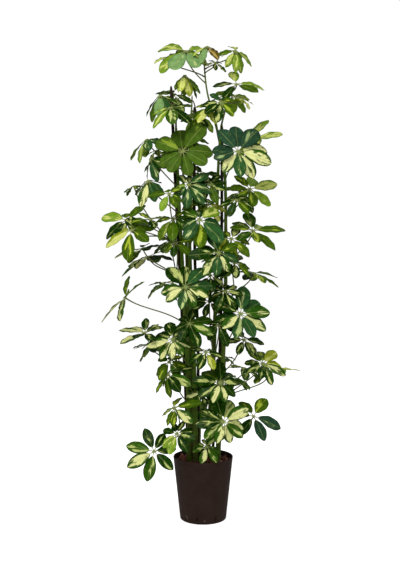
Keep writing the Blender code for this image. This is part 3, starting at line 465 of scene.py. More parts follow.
class GrowthTree(Group):
    """A Geometry Nodes tree that turns a bare mesh into a finished piece."""

    def __init__(self, name: str, inputs: dict[str, float | int | str]) -> None:
        """Open the tree.

        Args:
            name: The tree's name.
            inputs: Its inputs beside the geometry.
        """
        super().__init__(name, "GeometryNodeTree", {"Geometry": "Geometry", **inputs})
        self.tree.interface.new_socket("Geometry", in_out="OUTPUT", socket_type="NodeSocketGeometry")
        self.geometry = self.given("Geometry")

    def read(self, name: str) -> Wire:
        """Return a named vector attribute."""
        kind = "GeometryNodeInputNamedAttribute"
        return node(self.tree, kind, {"Name": name}, "Attribute", data_type="FLOAT_VECTOR")

    def store(self, geometry: Wire, name: str, value: Wire) -> Wire:
        """Keep a vector under a name on a geometry's points and return the geometry."""
        feeds = {"Geometry": geometry, "Name": name, "Value": value}
        return node(self.tree, "GeometryNodeStoreNamedAttribute", feeds, data_type="FLOAT_VECTOR")

    def close(self, *parts: tuple[Wire, str]) -> None:
        """End the tree: realize each part, give it its material and join them.

        Args:
            parts: Each part with the label of its material input.
        """
        join = self.tree.nodes.new("GeometryNodeJoinGeometry")
        for geometry, label in parts:
            solid = node(self.tree, "GeometryNodeRealizeInstances", {"Geometry": geometry})
            feeds = {"Geometry": solid, "Material": self.given(label)}
            plug(self.tree, join.inputs[0], node(self.tree, "GeometryNodeSetMaterial", feeds))
        plug(self.tree, self.leave.inputs[0], Wire(self.tree, join.outputs[0]))

    def grow(self, name: str, seedling: bpy.types.Mesh, values: dict[str, Any]) -> bpy.types.Object:
        """Run the tree on a mesh.

        Args:
            name: The finished piece's name.
            seedling: The bare mesh, which is used up.
            values: The inputs that differ from their defaults, by label.

        Returns:
            The piece, a plain mesh without modifiers.
        """
        ob = bpy.data.objects.new(name, seedling)
        bpy.context.scene.collection.objects.link(ob)
        modifier = ob.modifiers.new(self.tree.name, "NODES")
        modifier.node_group = self.tree
        for label, value in values.items():
            modifier[self.keys[label]] = value
        graph = bpy.context.evaluated_depsgraph_get()
        grown = bpy.data.meshes.new_from_object(
            ob.evaluated_get(graph), preserve_all_data_layers=True, depsgraph=graph
        )
        ob.modifiers.remove(modifier)
        ob.data = grown
        grown.name = name
        bpy.data.meshes.remove(seedling)
        return ob


class RodTree(GrowthTree):
    """Sweeps round rods along the edges of a mesh, whose points carry a radius each."""

    def __init__(self) -> None:
        """Build the tree."""
        inputs = {
            "Sides": 12, "Step Length": 0.005, "Ridge Spacing": 0.03, "Ridge Height": 0.0, "Ridge Sway": 1.5,
            "Sway Scale": 18.0, "Roughness": 0.0, "Grain Scale": 240.0, "Seed": 3.0, "Material": "Material",
        }
        super().__init__("round_rods", inputs)
        rods = rods_along(self, self.geometry, self.given("Sides"), self.given("Step Length"), self.ridged)
        self.close((rods, "Material"))

    def ridged(self, radius: Wire) -> Wire:
        """Swell a radius at the leaf scars and roughen it a little.

        Args:
            radius: The radius along the rod.

        Returns:
            The radius with a ring at each scar.
        """
        length = node(self.tree, "GeometryNodeSplineParameter", out="Length")
        place = node(self.tree, "GeometryNodeInputPosition")
        sway = noise(place + bundle(self.given("Seed"), 0.0, 0.0), self.given("Sway Scale")) - 0.5
        beat = (length / self.given("Ridge Spacing") + sway * self.given("Ridge Sway")).math("FRACT")
        arch = (beat * (1.0 - beat) * 4.0).math("POWER", 0.5)
        ring = (1.0 - arch).math("POWER", 2.0) * self.given("Ridge Height")
        grain = noise(place, self.given("Grain Scale"), 1.0) - 0.5
        return radius + ring + grain * self.given("Roughness")


def rods_along(maker: GrowthTree, lines: Wire, sides: Any, step: Any = None, shape: Any = None) -> Wire:
    """Sweep a circle along a mesh's edges.

    Args:
        maker: The tree that the nodes go into.
        lines: A mesh of edges with the attribute stalk, whose first number is the radius.
        sides: How many sides the section has.
        step: The length of a ring of faces; without it there is a ring at each point.
        shape: A function that changes the radius, if any.

    Returns:
        The rods as a closed mesh.
    """
    tree = maker.tree
    curves = node(tree, "GeometryNodeMeshToCurve", {"Mesh": lines})
    if step is not None:
        curves = node(tree, "GeometryNodeResampleCurve", {"Curve": curves, "Length": step}, mode="LENGTH")
    radius = maker.read("stalk").parts()[0]
    if shape is not None:
        radius = shape(radius)
    ring = node(tree, "GeometryNodeCurvePrimitiveCircle", {"Resolution": sides, "Radius": 1.0})
    feeds = {"Curve": curves, "Profile Curve": ring, "Scale": radius, "Fill Caps": True}
    rods = node(tree, "GeometryNodeCurveToMesh", feeds)
    return node(tree, "GeometryNodeSetShadeSmooth", {"Geometry": rods})


class LeafTree(GrowthTree):
    """Grows a compound leaf: rods along its stalks and a bent, folded, wavy blade at each point."""

    def __init__(self) -> None:
        """Build the tree."""
        inputs = {
            "Hub Radius": 0.004, "Stalk Share": 0.12, "Breadth": 1.07, "Base Width": 0.005, "Base Fade": 6.0,
            "Base Taper": 0.8, "Blade Thickness": 0.0007, "Rib Height": 0.0006, "Rib Width": 0.3,
            "Fold Least": 0.05, "Fold Most": 0.22, "Twist": 0.30, "Untwisted At": 0.25, "Margin Waves": 2.6,
            "Wave Height": 0.0013, "Wave Lag": 0.21, "Least Length": 0.001, "Stalk Sides": 7, "Seed": 11,
            "Leaflet": "Object", "Blade Material": "Material", "Stalk Material": "Material",
        }
        super().__init__("compound_leaf", inputs)
        stalks = rods_along(self, self.geometry, self.given("Stalk Sides"))
        self.close((self.blades(), "Blade Material"), (stalks, "Stalk Material"))

    def blades(self) -> Wire:
        """Set a leaflet at every point that has a length, then bend it.

        Returns:
            The blades as closed meshes.
        """
        low = bundle(self.given("Fold Least"), 0.0, -1.0 * self.given("Twist"))
        high = bundle(self.given("Fold Most"), 1.0, self.given("Twist"))
        feeds = {"Min": low, "Max": high, "Seed": self.given("Seed")}
        sway = node(self.tree, "FunctionNodeRandomValue", feeds, "Value", data_type="FLOAT_VECTOR")
        points = self.store(self.geometry, "sway", sway)
        leaflet = node(self.tree, "GeometryNodeObjectInfo", {"Object": self.given("Leaflet")}, "Geometry")
        grown = self.read("bend").parts()[2].math("GREATER_THAN", self.given("Least Length"))
        feeds = {"Points": points, "Selection": grown, "Instance": leaflet}
        blades = node(self.tree, "GeometryNodeInstanceOnPoints", feeds)
        blades = node(self.tree, "GeometryNodeRealizeInstances", {"Geometry": blades})
        return node(self.tree, "GeometryNodeSetPosition", {"Geometry": blades, "Position": self.bent()})

    def bent(self) -> Wire:
        """Bend, fold, twist and wave the blades.

        Returns:
            Where each point of a blade lies.
        """
        across, along, face = self.read("blade").parts()
        hang, curl, length = self.read("bend").parts()
        fold, phase, twist = self.read("sway").parts()
        breadth, tip, _ = self.read("form").parts()
        level = self.read("level")
        axis = self.read("axis")
        hub_radius = self.given("Hub Radius")
        stalk = length * self.given("Stalk Share")
        blade = length - hub_radius - stalk
        bend = curl / length
        angle = hang + bend * (stalk + along * blade)
        out = (angle.math("SINE") - hang.math("SINE")) / bend
        down = (hang.math("COSINE") - angle.math("COSINE")) / bend
        spine = self.read("hub") + level * (hub_radius + out) - axis * down
        heading = level * angle.math("COSINE") - axis * angle.math("SINE")
        upper = axis * angle.math("COSINE") + level * angle.math("SINE")
        side = upper.arrow("CROSS_PRODUCT", heading)
        spin = twist * (along - self.given("Untwisted At"))
        edge = side * spin.math("COSINE") + upper * spin.math("SINE")
        top = upper * spin.math("COSINE") - side * spin.math("SINE")
        outline = self.outline(along, tip)
        base = (1.0 - along).math("POWER", self.given("Base Fade")) * self.given("Base Width")
        half = (outline * blade * breadth * self.given("Breadth") + base) * 0.5
        reach = across.math("ABSOLUTE")
        square = reach.math("POWER", 2.0)
        turn = (along * self.given("Margin Waves") + phase + across * self.given("Wave Lag")) * (2 * math.pi)
        wave = turn.math("SINE") * square * self.given("Wave Height") * outline
        skin = (1.0 - square) * self.given("Blade Thickness") * 0.5 * face
        ridge = (1.0 - reach.ramp(0.0, self.given("Rib Width"))) * (1.0 - along)
        rib = ridge * face.math("LESS_THAN", 0.0) * self.given("Rib Height")
        lift = half * fold * (reach - 0.5) + wave + skin - rib
        return spine + edge * (across * half) + top * lift

    def outline(self, along: Wire, tip: Wire) -> Wire:
        """Give a blade its outline, widest near its middle.

        Args:
            along: How far along the blade, from 0 to 1.
            tip: How pointed the tip is.

        Returns:
            How wide the blade is there, 1 at its widest.
        """
        taper = self.given("Base Taper")
        widest = taper / (tip + taper)
        rise = (along / widest).math("POWER", taper)
        return rise * ((1.0 - along) / (1.0 - widest)).math("POWER", tip)


class PebbleTree(GrowthTree):
    """Strews fired clay pebbles over a bed, clear of the rods that stand in it."""

    def __init__(self) -> None:
        """Build the tree."""
        inputs = {
            "Pebble Radius": 0.0056, "Spacing": 0.0088, "Density": 40000.0, "Least Upward": 0.3,
            "Rod Gap": 0.0095, "Bed Radius": 0.078, "Lumps": 0.44, "Lump Scale": 170.0, "Heap": 0.005,
            "Seed": 4, "Rods": "Object", "Material": "Material",
        }
        super().__init__("clay_granulate", inputs)
        pebbles = self.pebbles(self.spots())
        self.close((self.geometry, "Material"), (pebbles, "Material"))

    def spots(self) -> Wire:
        """Choose where pebbles lie on the bed's top.

        Returns:
            Their points, which keep their tint.
        """
        tree = self.tree
        upward = node(tree, "GeometryNodeInputNormal").parts()[2]
        feeds = {
            "Mesh": self.geometry, "Selection": upward.math("GREATER_THAN", self.given("Least Upward")),
            "Distance Min": self.given("Spacing"), "Density Max": self.given("Density"),
            "Seed": self.given("Seed"),
        }
        kind = "GeometryNodeDistributePointsOnFaces"
        points = node(tree, kind, feeds, "Points", distribute_method="POISSON")
        rods = node(tree, "GeometryNodeObjectInfo", {"Object": self.given("Rods")}, "Geometry")
        far = node(tree, "GeometryNodeProximity", {"Target": rods}, "Distance", target_element="POINTS")
        near = far.math("LESS_THAN", self.given("Rod Gap"))
        spot = node(tree, "GeometryNodeInputPosition") * (1.0, 1.0, 0.0)
        outside = spot.arrow("LENGTH", out="Value").math("GREATER_THAN", self.given("Bed Radius"))
        feeds = {"Geometry": points, "Selection": near.math("MAXIMUM", outside)}
        points = node(tree, "GeometryNodeDeleteGeometry", feeds)
        return self.store(points, "tint", self.draw((0.0, 0.0, 0.0), (1.0, 1.0, 1.0), 1))

    def pebbles(self, points: Wire) -> Wire:
        """Set a lumpy ball of its own size and turn on every point.

        Args:
            points: Where the pebbles lie.

        Returns:
            The pebbles as closed meshes.
        """
        tree = self.tree
        radius = self.given("Pebble Radius")
        least, most, full_turn = (0.78, 0.78, 0.7), (1.15, 1.1, 1.0), (6.28, 6.28, 6.28)
        ball = node(tree, "GeometryNodeMeshIcoSphere", {"Radius": 1.0, "Subdivisions": 2})
        feeds = {
            "Points": points, "Instance": ball, "Scale": self.draw(least, most, 2) * radius,
            "Rotation": self.draw((0.0, 0.0, 0.0), full_turn, 3),
        }
        pebbles = node(tree, "GeometryNodeInstanceOnPoints", feeds)
        pebbles = node(tree, "GeometryNodeRealizeInstances", {"Geometry": pebbles})
        place = node(tree, "GeometryNodeInputPosition")
        out = node(tree, "GeometryNodeInputNormal")
        lump = (noise(place, self.given("Lump Scale"), 1.0) - 0.5) * radius * self.given("Lumps")
        heap = bundle(0.0, 0.0, self.read("tint").parts()[2] * self.given("Heap"))
        pebbles = node(tree, "GeometryNodeSetPosition", {"Geometry": pebbles, "Offset": out * lump + heap})
        return node(tree, "GeometryNodeSetShadeSmooth", {"Geometry": pebbles})

    def draw(self, low: tuple, high: tuple, number: int) -> Wire:
        """Return a random vector for each point, by the tree's seed and a number of its own."""
        feeds = {"Min": low, "Max": high, "Seed": self.given("Seed") + float(number)}
        return node(self.tree, "FunctionNodeRandomValue", feeds, "Value", data_type="FLOAT_VECTOR")


class SlotTree(GrowthTree):
    """Cuts a ring of upright slots into a round wall."""

    def __init__(self) -> None:
        """Build the tree."""
        inputs = {
            "Slots": 8, "Ring Radius": 0.07, "Slot Width": 0.004, "Slot Depth": 0.016,
            "Slot Height": 0.013, "Slot Centre": 0.0105, "First Turn": 0.0,
            "Material": "Material",
        }
        super().__init__("drain_slots", inputs)
        tree = self.tree
        line = node(tree, "GeometryNodeMeshLine", {"Count": self.given("Slots"), "Offset": (0.0, 0.0, 0.0)})
        index = node(tree, "GeometryNodeInputIndex")
        turn = index * (2 * math.pi) / self.given("Slots") + self.given("First Turn")
        arm = bundle(turn.math("COSINE"), turn.math("SINE"), 0.0) * self.given("Ring Radius")
        lift = bundle(0.0, 0.0, self.given("Slot Centre"))
        line = node(tree, "GeometryNodeSetPosition", {"Geometry": line, "Position": arm + lift})
        size = bundle(self.given("Slot Depth"), self.given("Slot Width"), self.given("Slot Height"))
        block = node(tree, "GeometryNodeMeshCube", {"Size": size})
        feeds = {"Points": line, "Instance": block, "Rotation": bundle(0.0, 0.0, turn)}
        blocks = node(tree, "GeometryNodeInstanceOnPoints", feeds)
        blocks = node(tree, "GeometryNodeRealizeInstances", {"Geometry": blocks})
        feeds = {"Mesh 1": self.geometry, "Mesh 2": blocks}
        wall = node(tree, "GeometryNodeMeshBoolean", feeds, "Mesh", operation="DIFFERENCE")
        self.close((wall, "Material"))


class Effect(Group):
    """A shader node group that is built once and used by more than one material."""

    def __init__(self, name: str, inputs: dict[str, float | str], outputs: Iterable[str]) -> None:
        """Open the group.

        Args:
            name: The group's name.
            inputs: Its inputs.
            outputs: The names of its numbers.
        """
        super().__init__(name, "ShaderNodeTree", inputs)
        for label in outputs:
            self.tree.interface.new_socket(label, in_out="OUTPUT", socket_type="NodeSocketFloat")

    def give(self, label: str, value: Wire) -> None:
        """Send a value to one of the group's outputs."""
        plug(self.tree, self.leave.inputs[label], value)

    def use(self, tree: bpy.types.NodeTree, feeds: dict[str, Any]) -> dict[str, Wire]:
        """Put the group into a material.

        Args:
            tree: The material's tree.
            feeds: What goes into which input.

        Returns:
            The group's outputs by name.
        """
        made = tree.nodes.new("ShaderNodeGroup")
        made.node_tree = self.tree
        for label, value in feeds.items():
            plug(tree, made.inputs[label], value)
        return {out.name: Wire(tree, out) for out in made.outputs}


class Effects:
    """The shader node groups that the finishes share."""

    def __init__(self) -> None:
        """Build every group."""
        self.mottle = self.make_mottle()
        self.fibre = self.make_fibre()
        self.splash = self.make_splash()
        self.veins = self.make_veins()

    @staticmethod
    def make_mottle() -> Effect:
        """Build cloudy patches with fine grit in them.

        Returns:
            The group, with patches, grit and sparse spots.
        """
        inputs = {"Place": "Vector", "Scale": 40.0, "Grit": 0.3, "Grit Fineness": 9.0, "Spot Fineness": 3.0}
        group = Effect("mottle", inputs, ("Patch", "Grit", "Spots"))
        place = group.given("Place")
        scale = group.given("Scale")
        share = group.given("Grit")
        patch = noise(place, scale, detail=4.0, roughness=0.55)
        grit = noise(place, scale * group.given("Grit Fineness"), detail=3.0, roughness=0.6)
        spots = noise(place, scale * group.given("Spot Fineness"))
        group.give("Patch", patch.ramp(0.3, 0.7))
        group.give("Grit", grit * share + patch * (1.0 - share))
        group.give("Spots", spots.ramp(0.62, 0.72))
        return group

    @staticmethod
    def make_fibre() -> Effect:
        """Build streaks that run upwards, as in wood and bark.

        Returns:
            The group, with streaks and the cracks between them.
        """
        inputs = {"Place": "Vector", "Scale": 300.0, "Stretch": 0.06, "Crack Width": 0.05}
        group = Effect("fibre", inputs, ("Streak", "Crack"))
        x, y, z = group.given("Place").parts()
        place = bundle(x, y, z * group.given("Stretch"))
        streak = noise(place, group.given("Scale"), detail=4.0, roughness=0.6)
        group.give("Streak", streak)
        group.give("Crack", (streak - 0.5).math("ABSOLUTE").ramp(group.given("Crack Width"), 0.0))
        return group

    @staticmethod
    def make_splash() -> Effect:
        """Build the jagged splashes of a variegated blade, which follow its side veins.

        Returns:
            The group, with the splashes and the paler halo round them.
        """
        inputs = {
            "Blade": "Vector", "Look": "Vector", "Slant": 0.45, "Broad Scale": 1.7, "Fine Scale": 1.3,
            "Broad Share": 0.80, "Fine Share": 0.26, "Bias": 0.03, "Bare Margin": 0.34, "Bare Tip": 0.10,
            "Uneven Halves": 0.24, "Bar": 0.72, "Reward": 0.50, "Edge": 0.012, "Halo Out": 0.085,
            "Halo In": 0.055,
        }
        group = Effect("splash", inputs, ("Cream", "Halo"))
        given = group.given
        across, along, _ = given("Blade").parts()
        share, half, seed = given("Look").parts()
        reach = across.math("ABSOLUTE")
        course = along - reach * given("Slant")
        broad = noise(bundle(across * 0.9, course * 1.3, seed * 7.3), given("Broad Scale"), detail=1.0)
        fine = noise(bundle(across * 2.2, course * 8.0, seed * 5.1), given("Fine Scale"))
        rim = reach.math("POWER", 2.0) * given("Bare Margin") + along.math("POWER", 3.0) * given("Bare Tip")
        level = broad * given("Broad Share") + fine * given("Fine Share") + given("Bias") - rim
        level = level + half * across * given("Uneven Halves")
        bar = given("Bar") - share * given("Reward")
        group.give("Cream", level.ramp(bar - given("Edge"), bar + given("Edge")))
        group.give("Halo", level.ramp(bar - given("Halo Out"), bar - given("Halo In")))
        return group

    @staticmethod
    def make_veins() -> Effect:
        """Build a blade's midrib and the side veins that leave it.

        Returns:
            The group, with the midrib, the side veins and their relief.
        """
        inputs = {
            "Blade": "Vector", "Count": 8.0, "Rake": 2.4, "Midrib Width": 0.085, "Midrib Core": 0.02,
            "Vein Width": 0.09, "Bare Margin": 0.3, "Midrib Depth": 0.8, "Vein Depth": 0.35,
        }
        group = Effect("veins", inputs, ("Midrib", "Side Veins", "Relief"))
        given = group.given
        across, along, _ = given("Blade").parts()
        reach = across.math("ABSOLUTE")
        midrib = reach.ramp(given("Midrib Width"), given("Midrib Core"))
        beat = (along * given("Count") - reach * given("Rake")).math("FRACT") - 0.5
        inner = (1.0 - reach).ramp(0.0, given("Bare Margin"))
        side = beat.math("ABSOLUTE").ramp(given("Vein Width"), 0.0) * inner
        group.give("Midrib", midrib)
        group.give("Side Veins", side)
        group.give("Relief", 1.0 - midrib * given("Midrib Depth") - side * given("Vein Depth"))
        return group


class Canvas:
    """A material that is being painted."""

    def __init__(self, tree: bpy.types.NodeTree, effects: Effects) -> None:
        """Start with nothing on it.

        Args:
            tree: The material's tree.
            effects: The shared node groups.
        """
        self.tree = tree
        self.effects = effects
        self.place = node(tree, "ShaderNodeTexCoord", out="Object")

    def read(self, name: str) -> Wire:
        """Return a vector attribute of the mesh."""
        return node(self.tree, "ShaderNodeAttribute", out="Vector", attribute_name=name)

    def mottle(self, scale: float, grit: float) -> dict[str, Wire]:
        """Return patches, grit and spots over the object, so many to the metre."""
        return self.effects.mottle.use(self.tree, {"Place": self.place, "Scale": scale, "Grit": grit})

    def fibre(self, scale: float, stretch: float) -> dict[str, Wire]:
        """Return upright streaks and cracks over the object, so many to the metre."""
        return self.effects.fibre.use(self.tree, {"Place": self.place, "Scale": scale, "Stretch": stretch})

    def mixed(self, first: Any, second: Any, factor: Any) -> Wire:
        """Return one colour with as much of a second as the factor says."""
        feeds = {"Factor_Float": factor, "A_Color": first, "B_Color": second}
        return node(self.tree, "ShaderNodeMix", feeds, "Result_Color", data_type="RGBA")


@dataclass(frozen=True)
class Finish:
    """A surface: a Principled shader whose constants are the fields here."""

    name: str = "finish"
    roughness: float = 0.5
    coat: float = 0.0
    coat_roughness: float = 0.3
    specular: float = 0.5
    bump: float = 0.3
    depth: float = 0.0005
    grain: float = 0.15

    def material(self, effects: Effects) -> bpy.types.Material:
        """Make the material.

        Args:
            effects: The shared node groups.

        Returns:
            The material, with its colour, roughness and relief linked.
        """
        mat = bpy.data.materials.new(self.name)
        mat.use_nodes = True
        tree = mat.node_tree
        shader = tree.nodes["Principled BSDF"]
        colour, rough, relief = self.surface(Canvas(tree, effects))
        feeds = {"Strength": self.bump, "Distance": self.depth, "Height": relief}
        normal = node(tree, "ShaderNodeBump", feeds, "Normal")
        feeds = {
            "Base Color": colour, "Roughness": rough, "Normal": normal, "Coat Weight": self.coat,
            "Coat Roughness": self.coat_roughness, "Specular IOR Level": self.specular,
        }
        for label, value in feeds.items():
            plug(tree, shader.inputs[label], value)
        return mat

    def surface(self, on: Canvas) -> Surface:
        """Return the colour, the roughness and the relief."""
        raise NotImplementedError


@dataclass(frozen=True)
class MouldedPlastic(Finish):
    """The pot: dark brown, matte, with faint dust and mould texture."""

    name: str = "moulded_plastic"
    roughness: float = 0.55
    specular: float = 0.08
    body: Colour = (0.0245, 0.0120, 0.0082)
    dust: Colour = (0.045, 0.032, 0.026)
    lime: Colour = (0.200, 0.170, 0.150)
    grain: float = 0.16
    foot_height: float = 0.03
    # The rim band and its share give a painted highlight along the top of the rim.
    rim: Span = (0.1875, 0.1895)
    rim_highlight_share: float = 0.35
    patch_dust: float = 0.25
    foot_dust: float = 0.5
    pale_speck_edge: Span = (0.16, 0.28)

    def surface(self, on: Canvas) -> Surface:
        """Paint the pot, with dust at its foot, a painted highlight along its rim and pale specks low down.

        Args:
            on: The material.

        Returns:
            The colour, the roughness and the relief.
        """
        made = on.mottle(22.0, 0.5)
        height = on.place.parts()[2]
        low = (self.foot_height - height).ramp(0.0, self.foot_height) * made["Spots"]
        # A lighter band along the top of the rim is a painted highlight.
        rim_highlight = height.ramp(*self.rim) * self.rim_highlight_share
        dust_and_highlight = (made["Patch"] * self.patch_dust + low * self.foot_dust).math("MAXIMUM", rim_highlight)
        colour = on.mixed(self.body, self.dust, dust_and_highlight)
        # Pale specks near the foot of the pot.
        colour = on.mixed(colour, self.lime, low.ramp(*self.pale_speck_edge))
        return colour, made["Grit"] * self.grain + self.roughness, made["Grit"]


@dataclass(frozen=True)
class FiredClay(Finish):
    """The pebbles: rough fired clay, each pebble in its own red-brown."""

    name: str = "fired_clay"
    roughness: float = 0.85
    bump: float = 0.7
    depth: float = 0.0012
    dark: Colour = (0.030, 0.010, 0.007)
    red: Colour = (0.200, 0.052, 0.028)
    pale: Colour = (0.400, 0.200, 0.130)
    grain: float = 0.1
    own_red: float = 0.7
    patch_red: float = 0.5
    chalky_few: Span = (0.82, 0.95)
    chalk: float = 0.6
    chalk_spots: float = 0.25

    def surface(self, on: Canvas) -> Surface:
        """Paint the pebbles, some of them chalky.

        Args:
            on: The material.

        Returns:
            The colour, the roughness and the relief.
        """
        tint, chance, _ = on.read("tint").parts()
        made = on.mottle(160.0, 0.6)
        redness = (tint * self.own_red + made["Patch"] * self.patch_red).math("MINIMUM", 1.0)
        colour = on.mixed(self.dark, self.red, redness)
        chalk = chance.ramp(*self.chalky_few) * self.chalk + made["Spots"] * self.chalk_spots
        colour = on.mixed(colour, self.pale, chalk)
        return colour, made["Grit"] * self.grain + self.roughness, made["Grit"]


@dataclass(frozen=True)
class StainedWood(Finish):
    """The stakes: round sticks, stained nearly black, with their grain along them."""

    name: str = "stained_wood"
    roughness: float = 0.6
    specular: float = 0.08
    bump: float = 0.4
    dark: Colour = (0.012, 0.009, 0.006)
    brown: Colour = (0.050, 0.033, 0.020)
    grain: float = 0.2
    brown_streaks: Span = (0.35, 0.75)

    def surface(self, on: Canvas) -> Surface:
        """Paint the stakes.

        Args:
            on: The material.

        Returns:
            The colour, the roughness and the relief.
        """
        made = on.fibre(420.0, 0.04)
        colour = on.mixed(self.dark, self.brown, made["Streak"].ramp(*self.brown_streaks))
        return colour, made["Streak"] * self.grain + self.roughness, made["Streak"]


@dataclass(frozen=True)
class GreenBark(Finish):
    """The stems: green-brown bark with upright streaks, leaf scars and pale pores."""

    name: str = "green_bark"
    roughness: float = 0.58
    specular: float = 0.15
    bump: float = 0.6
    depth: float = 0.0008
    green: Colour = (0.085, 0.168, 0.008)
    brown: Colour = (0.072, 0.096, 0.012)
    pore: Colour = (0.260, 0.290, 0.090)
    patch_brown: float = 0.75
    streak_brown: float = 0.5
    greening: float = 0.35
    brown_edge: Span = (0.15, 0.85)
    pore_share: float = 0.5
    pore_height: float = 0.4
    crack_depth: float = 0.3

    def surface(self, on: Canvas) -> Surface:
        """Paint the stems, greener towards the top.

        Args:
            on: The material.

        Returns:
            The colour, the roughness and the relief.
        """
        made = on.fibre(260.0, 0.10)
        cloud = on.mottle(28.0, 0.4)
        woody = cloud["Patch"] * self.patch_brown + made["Streak"] * self.streak_brown
        woody = (woody - on.place.parts()[2] * self.greening).ramp(*self.brown_edge)
        colour = on.mixed(self.green, self.brown, woody)
        pores = on.mottle(190.0, 0.0)["Spots"]
        colour = on.mixed(colour, self.pore, pores * self.pore_share)
        relief = made["Streak"] + pores * self.pore_height - made["Crack"] * self.crack_depth
        return colour, cloud["Grit"] * self.grain + self.roughness, relief


@dataclass(frozen=True)
class CoatedWire(Finish):
    """The ties: dark green coated wire."""

    name: str = "coated_wire"
    roughness: float = 0.4
    coat: float = 0.2
    dark: Colour = (0.010, 0.020, 0.010)
    green: Colour = (0.022, 0.040, 0.018)
    grain: float = 0.2

    def surface(self, on: Canvas) -> Surface:
        """Paint the ties.

        Args:
            on: The material.

        Returns:
            The colour, the roughness and the relief.
        """
        made = on.mottle(300.0, 0.5)
        colour = on.mixed(self.dark, self.green, made["Patch"])
        return colour, made["Grit"] * self.grain + self.roughness, made["Grit"]


@dataclass(frozen=True)
class WaxyBlade(Finish):
    """The leaflets: waxy green with splashes, a pale midrib, side veins and a duller underside."""

    name: str = "waxy_blade"
    roughness: float = 0.40
    coat: float = 0.06
    coat_roughness: float = 0.24
    specular: float = 0.0
    bump: float = 0.45
    depth: float = 0.0009
    under: Colour = (0.085, 0.165, 0.022)
    rib: Colour = (0.340, 0.420, 0.110)
    grain: float = 0.14
    shade: Span = (0.82, 1.17)
    halo_green: float = 0.55
    halo_splash: float = 0.30
    halo: float = 0.55
    splash_shade: Span = (0.93, 1.07)
    # The margin fields darken each blade's rim: partly a real dark margin, partly painted shade that parts
    # the leaflets.
    margin_edge: Span = (0.74, 1.0)
    margin_green: float = 0.40
    margin: float = 0.60
    midrib: float = 0.38
    side_veins: float = 0.10
    under_share: float = 0.35
    under_dull: float = 0.25
    grit_height: float = 0.25

    def surface(self, on: Canvas) -> Surface:
        """Paint the leaflets, with a darker rim that is partly a real margin colour and partly painted
        shade.

        Args:
            on: The material.

        Returns:
            The colour, the roughness and the relief.
        """
        blade = on.read("blade")
        look = on.read("look")
        green = on.read("tone")
        splash = on.read("splash")
        made = on.mottle(70.0, 0.35)
        patch = on.effects.splash.use(on.tree, {"Blade": blade, "Look": look})
        vein = on.effects.veins.use(on.tree, {"Blade": blade})
        reach = blade.parts()[0].math("ABSOLUTE")
        below = blade.parts()[2].ramp(0.0, -0.2)
        halo = green * self.halo_green + splash * self.halo_splash
        colour = on.mixed(green * self.between(made["Patch"], self.shade), halo, patch["Halo"] * self.halo)
        colour = on.mixed(colour, splash * self.between(made["Patch"], self.splash_shade), patch["Cream"])
        # Darker green towards the margin: partly a real dark rim, partly painted shade between the leaflets.
        rim_and_shade = reach.ramp(*self.margin_edge) * self.margin
        colour = on.mixed(colour, green * self.margin_green, rim_and_shade)
        colour = on.mixed(colour, self.rib, vein["Midrib"] * self.midrib)
        colour = on.mixed(colour, self.rib, vein["Side Veins"] * self.side_veins)
        colour = on.mixed(colour, self.under, below * self.under_share)
        rough = made["Grit"] * self.grain + self.roughness + below * self.under_dull
        return colour, rough, vein["Relief"] + made["Grit"] * self.grit_height

    @staticmethod
    def between(share: Wire, ends: Span) -> Wire:
        """Return the number at a share of the way between two ends."""
        return share * (ends[1] - ends[0]) + ends[0]


@dataclass(frozen=True)
class GreenStalk(Finish):
    """The petioles and shoots: olive green, paler towards the hubs."""

    name: str = "green_stalk"
    roughness: float = 0.42
    coat: float = 0.03
    specular: float = 0.15
    green: Colour = (0.070, 0.130, 0.012)
    brown: Colour = (0.095, 0.080, 0.028)
    pale: Colour = (0.440, 0.520, 0.170)
    patch_brown: float = 0.35
    age_brown: float = 0.5

    def surface(self, on: Canvas) -> Surface:
        """Paint the petioles and shoots.

        Args:
            on: The material.

        Returns:
            The colour, the roughness and the relief.
        """
        _, paleness, age = on.read("stalk").parts()
        made = on.mottle(60.0, 0.4)
        streak = on.fibre(500.0, 0.3)["Streak"]
        brownness = made["Patch"] * self.patch_brown + age * self.age_brown
        colour = on.mixed(self.green, self.brown, brownness)
        colour = on.mixed(colour, self.pale, paleness)
        return colour, made["Grit"] * self.grain + self.roughness, streak


def rounded(knots: list[tuple], cut: float = 0.25) -> list[tuple]:
    """Cut the corners of an open line once.

    Args:
        knots: The line's points, each a tuple of a place and further values.
        cut: The share of each stretch that goes at either end.

    Returns:
        The points of the rounder line, which keeps its ends.
    """
    line = [knots[0]]
    for low, high in zip(knots, knots[1:]):
        for share in (cut, 1.0 - cut):
            line.append(tuple(a + (b - a) * share for a, b in zip(low, high)))
    return line + [knots[-1]]


